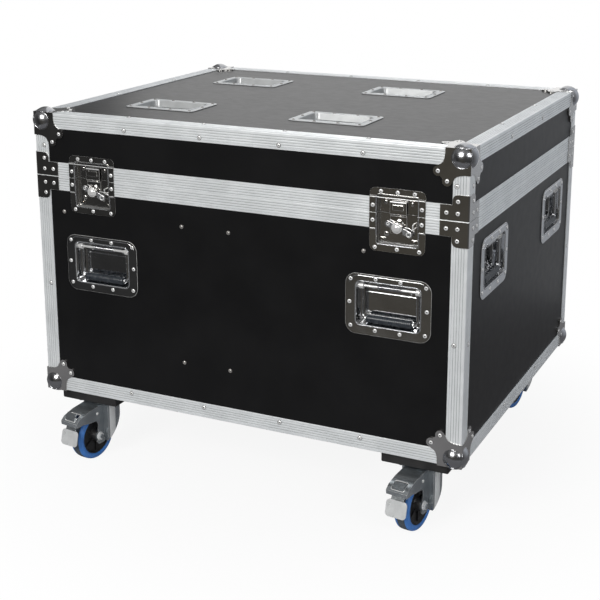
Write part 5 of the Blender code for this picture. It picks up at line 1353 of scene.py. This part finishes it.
def around(azimuth, lift, distance):
    """A place seen from the case's middle."""
    azimuth, lift = math.radians(azimuth), math.radians(lift)
    return (distance * math.cos(lift) * math.cos(azimuth),
            distance * math.cos(lift) * math.sin(azimuth),
            CENTRE_HEIGHT + distance * math.sin(lift))


def maths(tree, kind, operation, *sources):
    made = add_node(tree, kind, dict(enumerate(sources)))
    made.operation = operation
    return made.outputs["Value"]


def seen_directly(tree):
    """1 for camera, mirror and glass rays, 0 for the light that falls on things."""
    path = add_node(tree, "LightPath").outputs
    first = maths(tree, "Math", "MAXIMUM", path["Is Camera Ray"], path["Is Glossy Ray"])
    return maths(tree, "Math", "MAXIMUM", first, path["Is Transmission Ray"])


def show_mix(tree, output, factor, first, second):
    mixed = add_node(tree, "MixShader", {"Fac": factor, 1: first.outputs[0], 2: second.outputs[0]})
    tree.links.new(mixed.outputs["Shader"], tree.nodes[output].inputs["Surface"])


def build_world():
    scene = bpy.context.scene
    scene.view_settings.view_transform = "Standard"
    scene.world = bpy.data.worlds.new("studio")
    scene.world.use_nodes = True
    tree = scene.world.node_tree
    soft = tree.nodes["Background"]
    set_inputs(soft, {"Color": (0.93, 0.96, 1.0, 1), "Strength": 0.24})
    white = add_node(tree, "Background", Color=(1, 1, 1, 1), Strength=1.0)
    show_mix(tree, "World Output", seen_directly(tree), soft, white)


def build_floor():
    """A pale floor that glows towards its rim, so that it ends in the white world."""
    floor = bmesh.new()
    bmesh.ops.create_circle(floor, cap_ends=True, radius=FLOOR_RADIUS, segments=96)
    floor = from_bmesh(floor, "studio_floor")
    made, tree, shader = material("pale_floor")
    set_inputs(shader, {"Base Color": (0.85, 0.85, 0.85, 1), "Roughness": 0.9,
                        "Specular IOR Level": 0.0})
    glow = add_node(tree, "Emission", Color=(1, 1, 1, 1), Strength=1.0)
    reach = maths(tree, "VectorMath", "LENGTH", add_node(tree, "TexCoord").outputs["Object"])
    fade = add_node(tree, "MapRange", {"Value": reach}, From_Min=0.45,
                    From_Max=FLOOR_RADIUS - 0.05, To_Min=0.90, To_Max=1.0)
    fade.interpolation_type = "SMOOTHSTEP"
    share = maths(tree, "Math", "MULTIPLY", seen_directly(tree), fade.outputs["Result"])
    show_mix(tree, "Material Output", share, shader, glow)
    clad(floor, made)


def shell_colour(x, y, z):
    """Dark in front, lighter on the right and above, and warm beside the front."""
    lift = math.degrees(math.asin(clamp((z - CENTRE_HEIGHT) / SHELL_RADIUS, -1.0)))
    side = math.degrees(math.atan2(y, x))
    up = clamp((lift - 12.0) / 55.0)
    toward = clamp((side + 125.0) / 17.0) if side > -180.0 else 0.0
    right = max(0.0, 1.0 - abs(side - 50.0) / (65.0 if side < 50.0 else 95.0))
    left = max(0.0, 1.0 - abs(abs(side) - 180.0) / 50.0)
    level = 0.028 + 0.034 * toward + 0.20 * up * up * (3 - 2 * up)
    level += (0.44 + 0.20 * clamp(lift / 25.0, -1.0)) * right + 0.10 * left
    warm = toward * clamp((-50.0 - side) / 40.0) * (1.0 - up)
    return (level * (1 + 0.10 * warm - 0.05 * right), level * (1 + 0.02 * warm),
            level * (1 - 0.13 * warm + 0.08 * right))


def ground_colour(x, y, _):
    level = 0.15 + 0.02 * max(0.0, x) + 0.05 * max(0.0, -y)
    return (level, level, level * 1.04)


def mirrored_studio():
    """A finish that shows each vertex's own colour as light."""
    made, tree, shader = material("dark_studio")
    tree.nodes.remove(shader)
    read = add_node(tree, "Attribute")
    read.attribute_name = "tint"
    glow = add_node(tree, "Emission", {"Color": read.outputs["Color"]})
    tree.links.new(glow.outputs[0], tree.nodes["Material Output"].inputs["Surface"])
    return made


def build_reflections():
    """The studio's shell and floor card, which only mirrors see."""
    turns, rises = 60, 22
    shell = bmesh.new()
    bands(shell, [[shell.verts.new(around(-232 + 310 * k / turns, -38 + 126 * j / rises,
                                          SHELL_RADIUS)) for j in range(rises + 1)]
                  for k in range(turns + 1)], wrap=False)
    ground = bmesh.new()
    bands(ground, [[ground.verts.new((reach * a, reach * b, 0.003)) for a, b in circle(48)]
                   for reach in (0.02 + 1.5 * k / 8 for k in range(9))])
    finish = mirrored_studio()
    for name, shape, colour in (("studio_wall", shell, shell_colour),
                                ("studio_ground", ground, ground_colour)):
        piece = clad(from_bmesh(shape, name), finish)
        tint = piece.data.color_attributes.new("tint", "FLOAT_COLOR", "POINT")
        for vertex, value in zip(piece.data.vertices, tint.data):
            value.color = (*colour(*vertex.co), 1)
        piece.visible_camera = False
        piece.visible_diffuse = False
        piece.visible_shadow = False


def lamp(name, where, size, power, colour):
    light = bpy.data.lights.new(name, "AREA")
    light.shape = "RECTANGLE"
    light.size, light.size_y = size
    light.energy = power
    light.color = colour
    made = placed(name, light)
    made.location = where
    ahead = Vector((0, 0, CENTRE_HEIGHT)) - Vector(where)
    made.rotation_euler = ahead.to_track_quat("-Z", "Y").to_euler()


def build_lights():
    lamp("key_softbox", around(-98, 27, 5.0), (1.9, 1.7), 150.0, (1.0, 0.99, 0.97))
    lamp("fill_softbox", around(-35, 24, 5.0), (1.7, 1.7), 55.0, (1, 1, 1))


def build_camera():
    """The camera that was fitted to the case's edges in the photograph, 600 px wide."""
    yaw, pitch, roll = 0.4470, -0.2476, -0.0017
    sensor, focal_px, width_px = 36.0, 1250.9873, 600.0
    unit = 1.1                # the fit's unit of length, the case's width
    ahead = Vector((-math.sin(yaw) * math.cos(pitch), math.cos(yaw) * math.cos(pitch),
                    math.sin(pitch)))
    level = Vector((math.cos(yaw), math.sin(yaw), 0.0))
    up = level.cross(ahead)
    right = level * math.cos(roll) + up * math.sin(roll)
    up = up * math.cos(roll) - level * math.sin(roll)
    data = bpy.data.cameras.new("photo_camera")
    data.sensor_width = sensor
    data.sensor_fit = "HORIZONTAL"
    data.lens = focal_px / width_px * sensor
    data.shift_y = -0.15
    data.clip_end = 60.0
    made = placed("photo_camera", data)
    turn = Matrix((right, up, -ahead)).transposed().to_4x4()
    made.matrix_world = moved(unit * 1.6996 - RIGHT, unit * -2.1968 + FRONT,
                              unit * 1.1082 + BOTTOM) @ turn
    bpy.context.scene.camera = made


build_edging()
build_rims()
build_braces()
build_ball_corners()
build_rivets()
build_latches()
build_handles()
build_cups()
build_casters()
build_hinge_rivets()
dress_carried()
drop(RIVET_MASTER, DOME_MASTER)
build_world()
build_floor()
build_reflections()
build_lights()
build_camera()
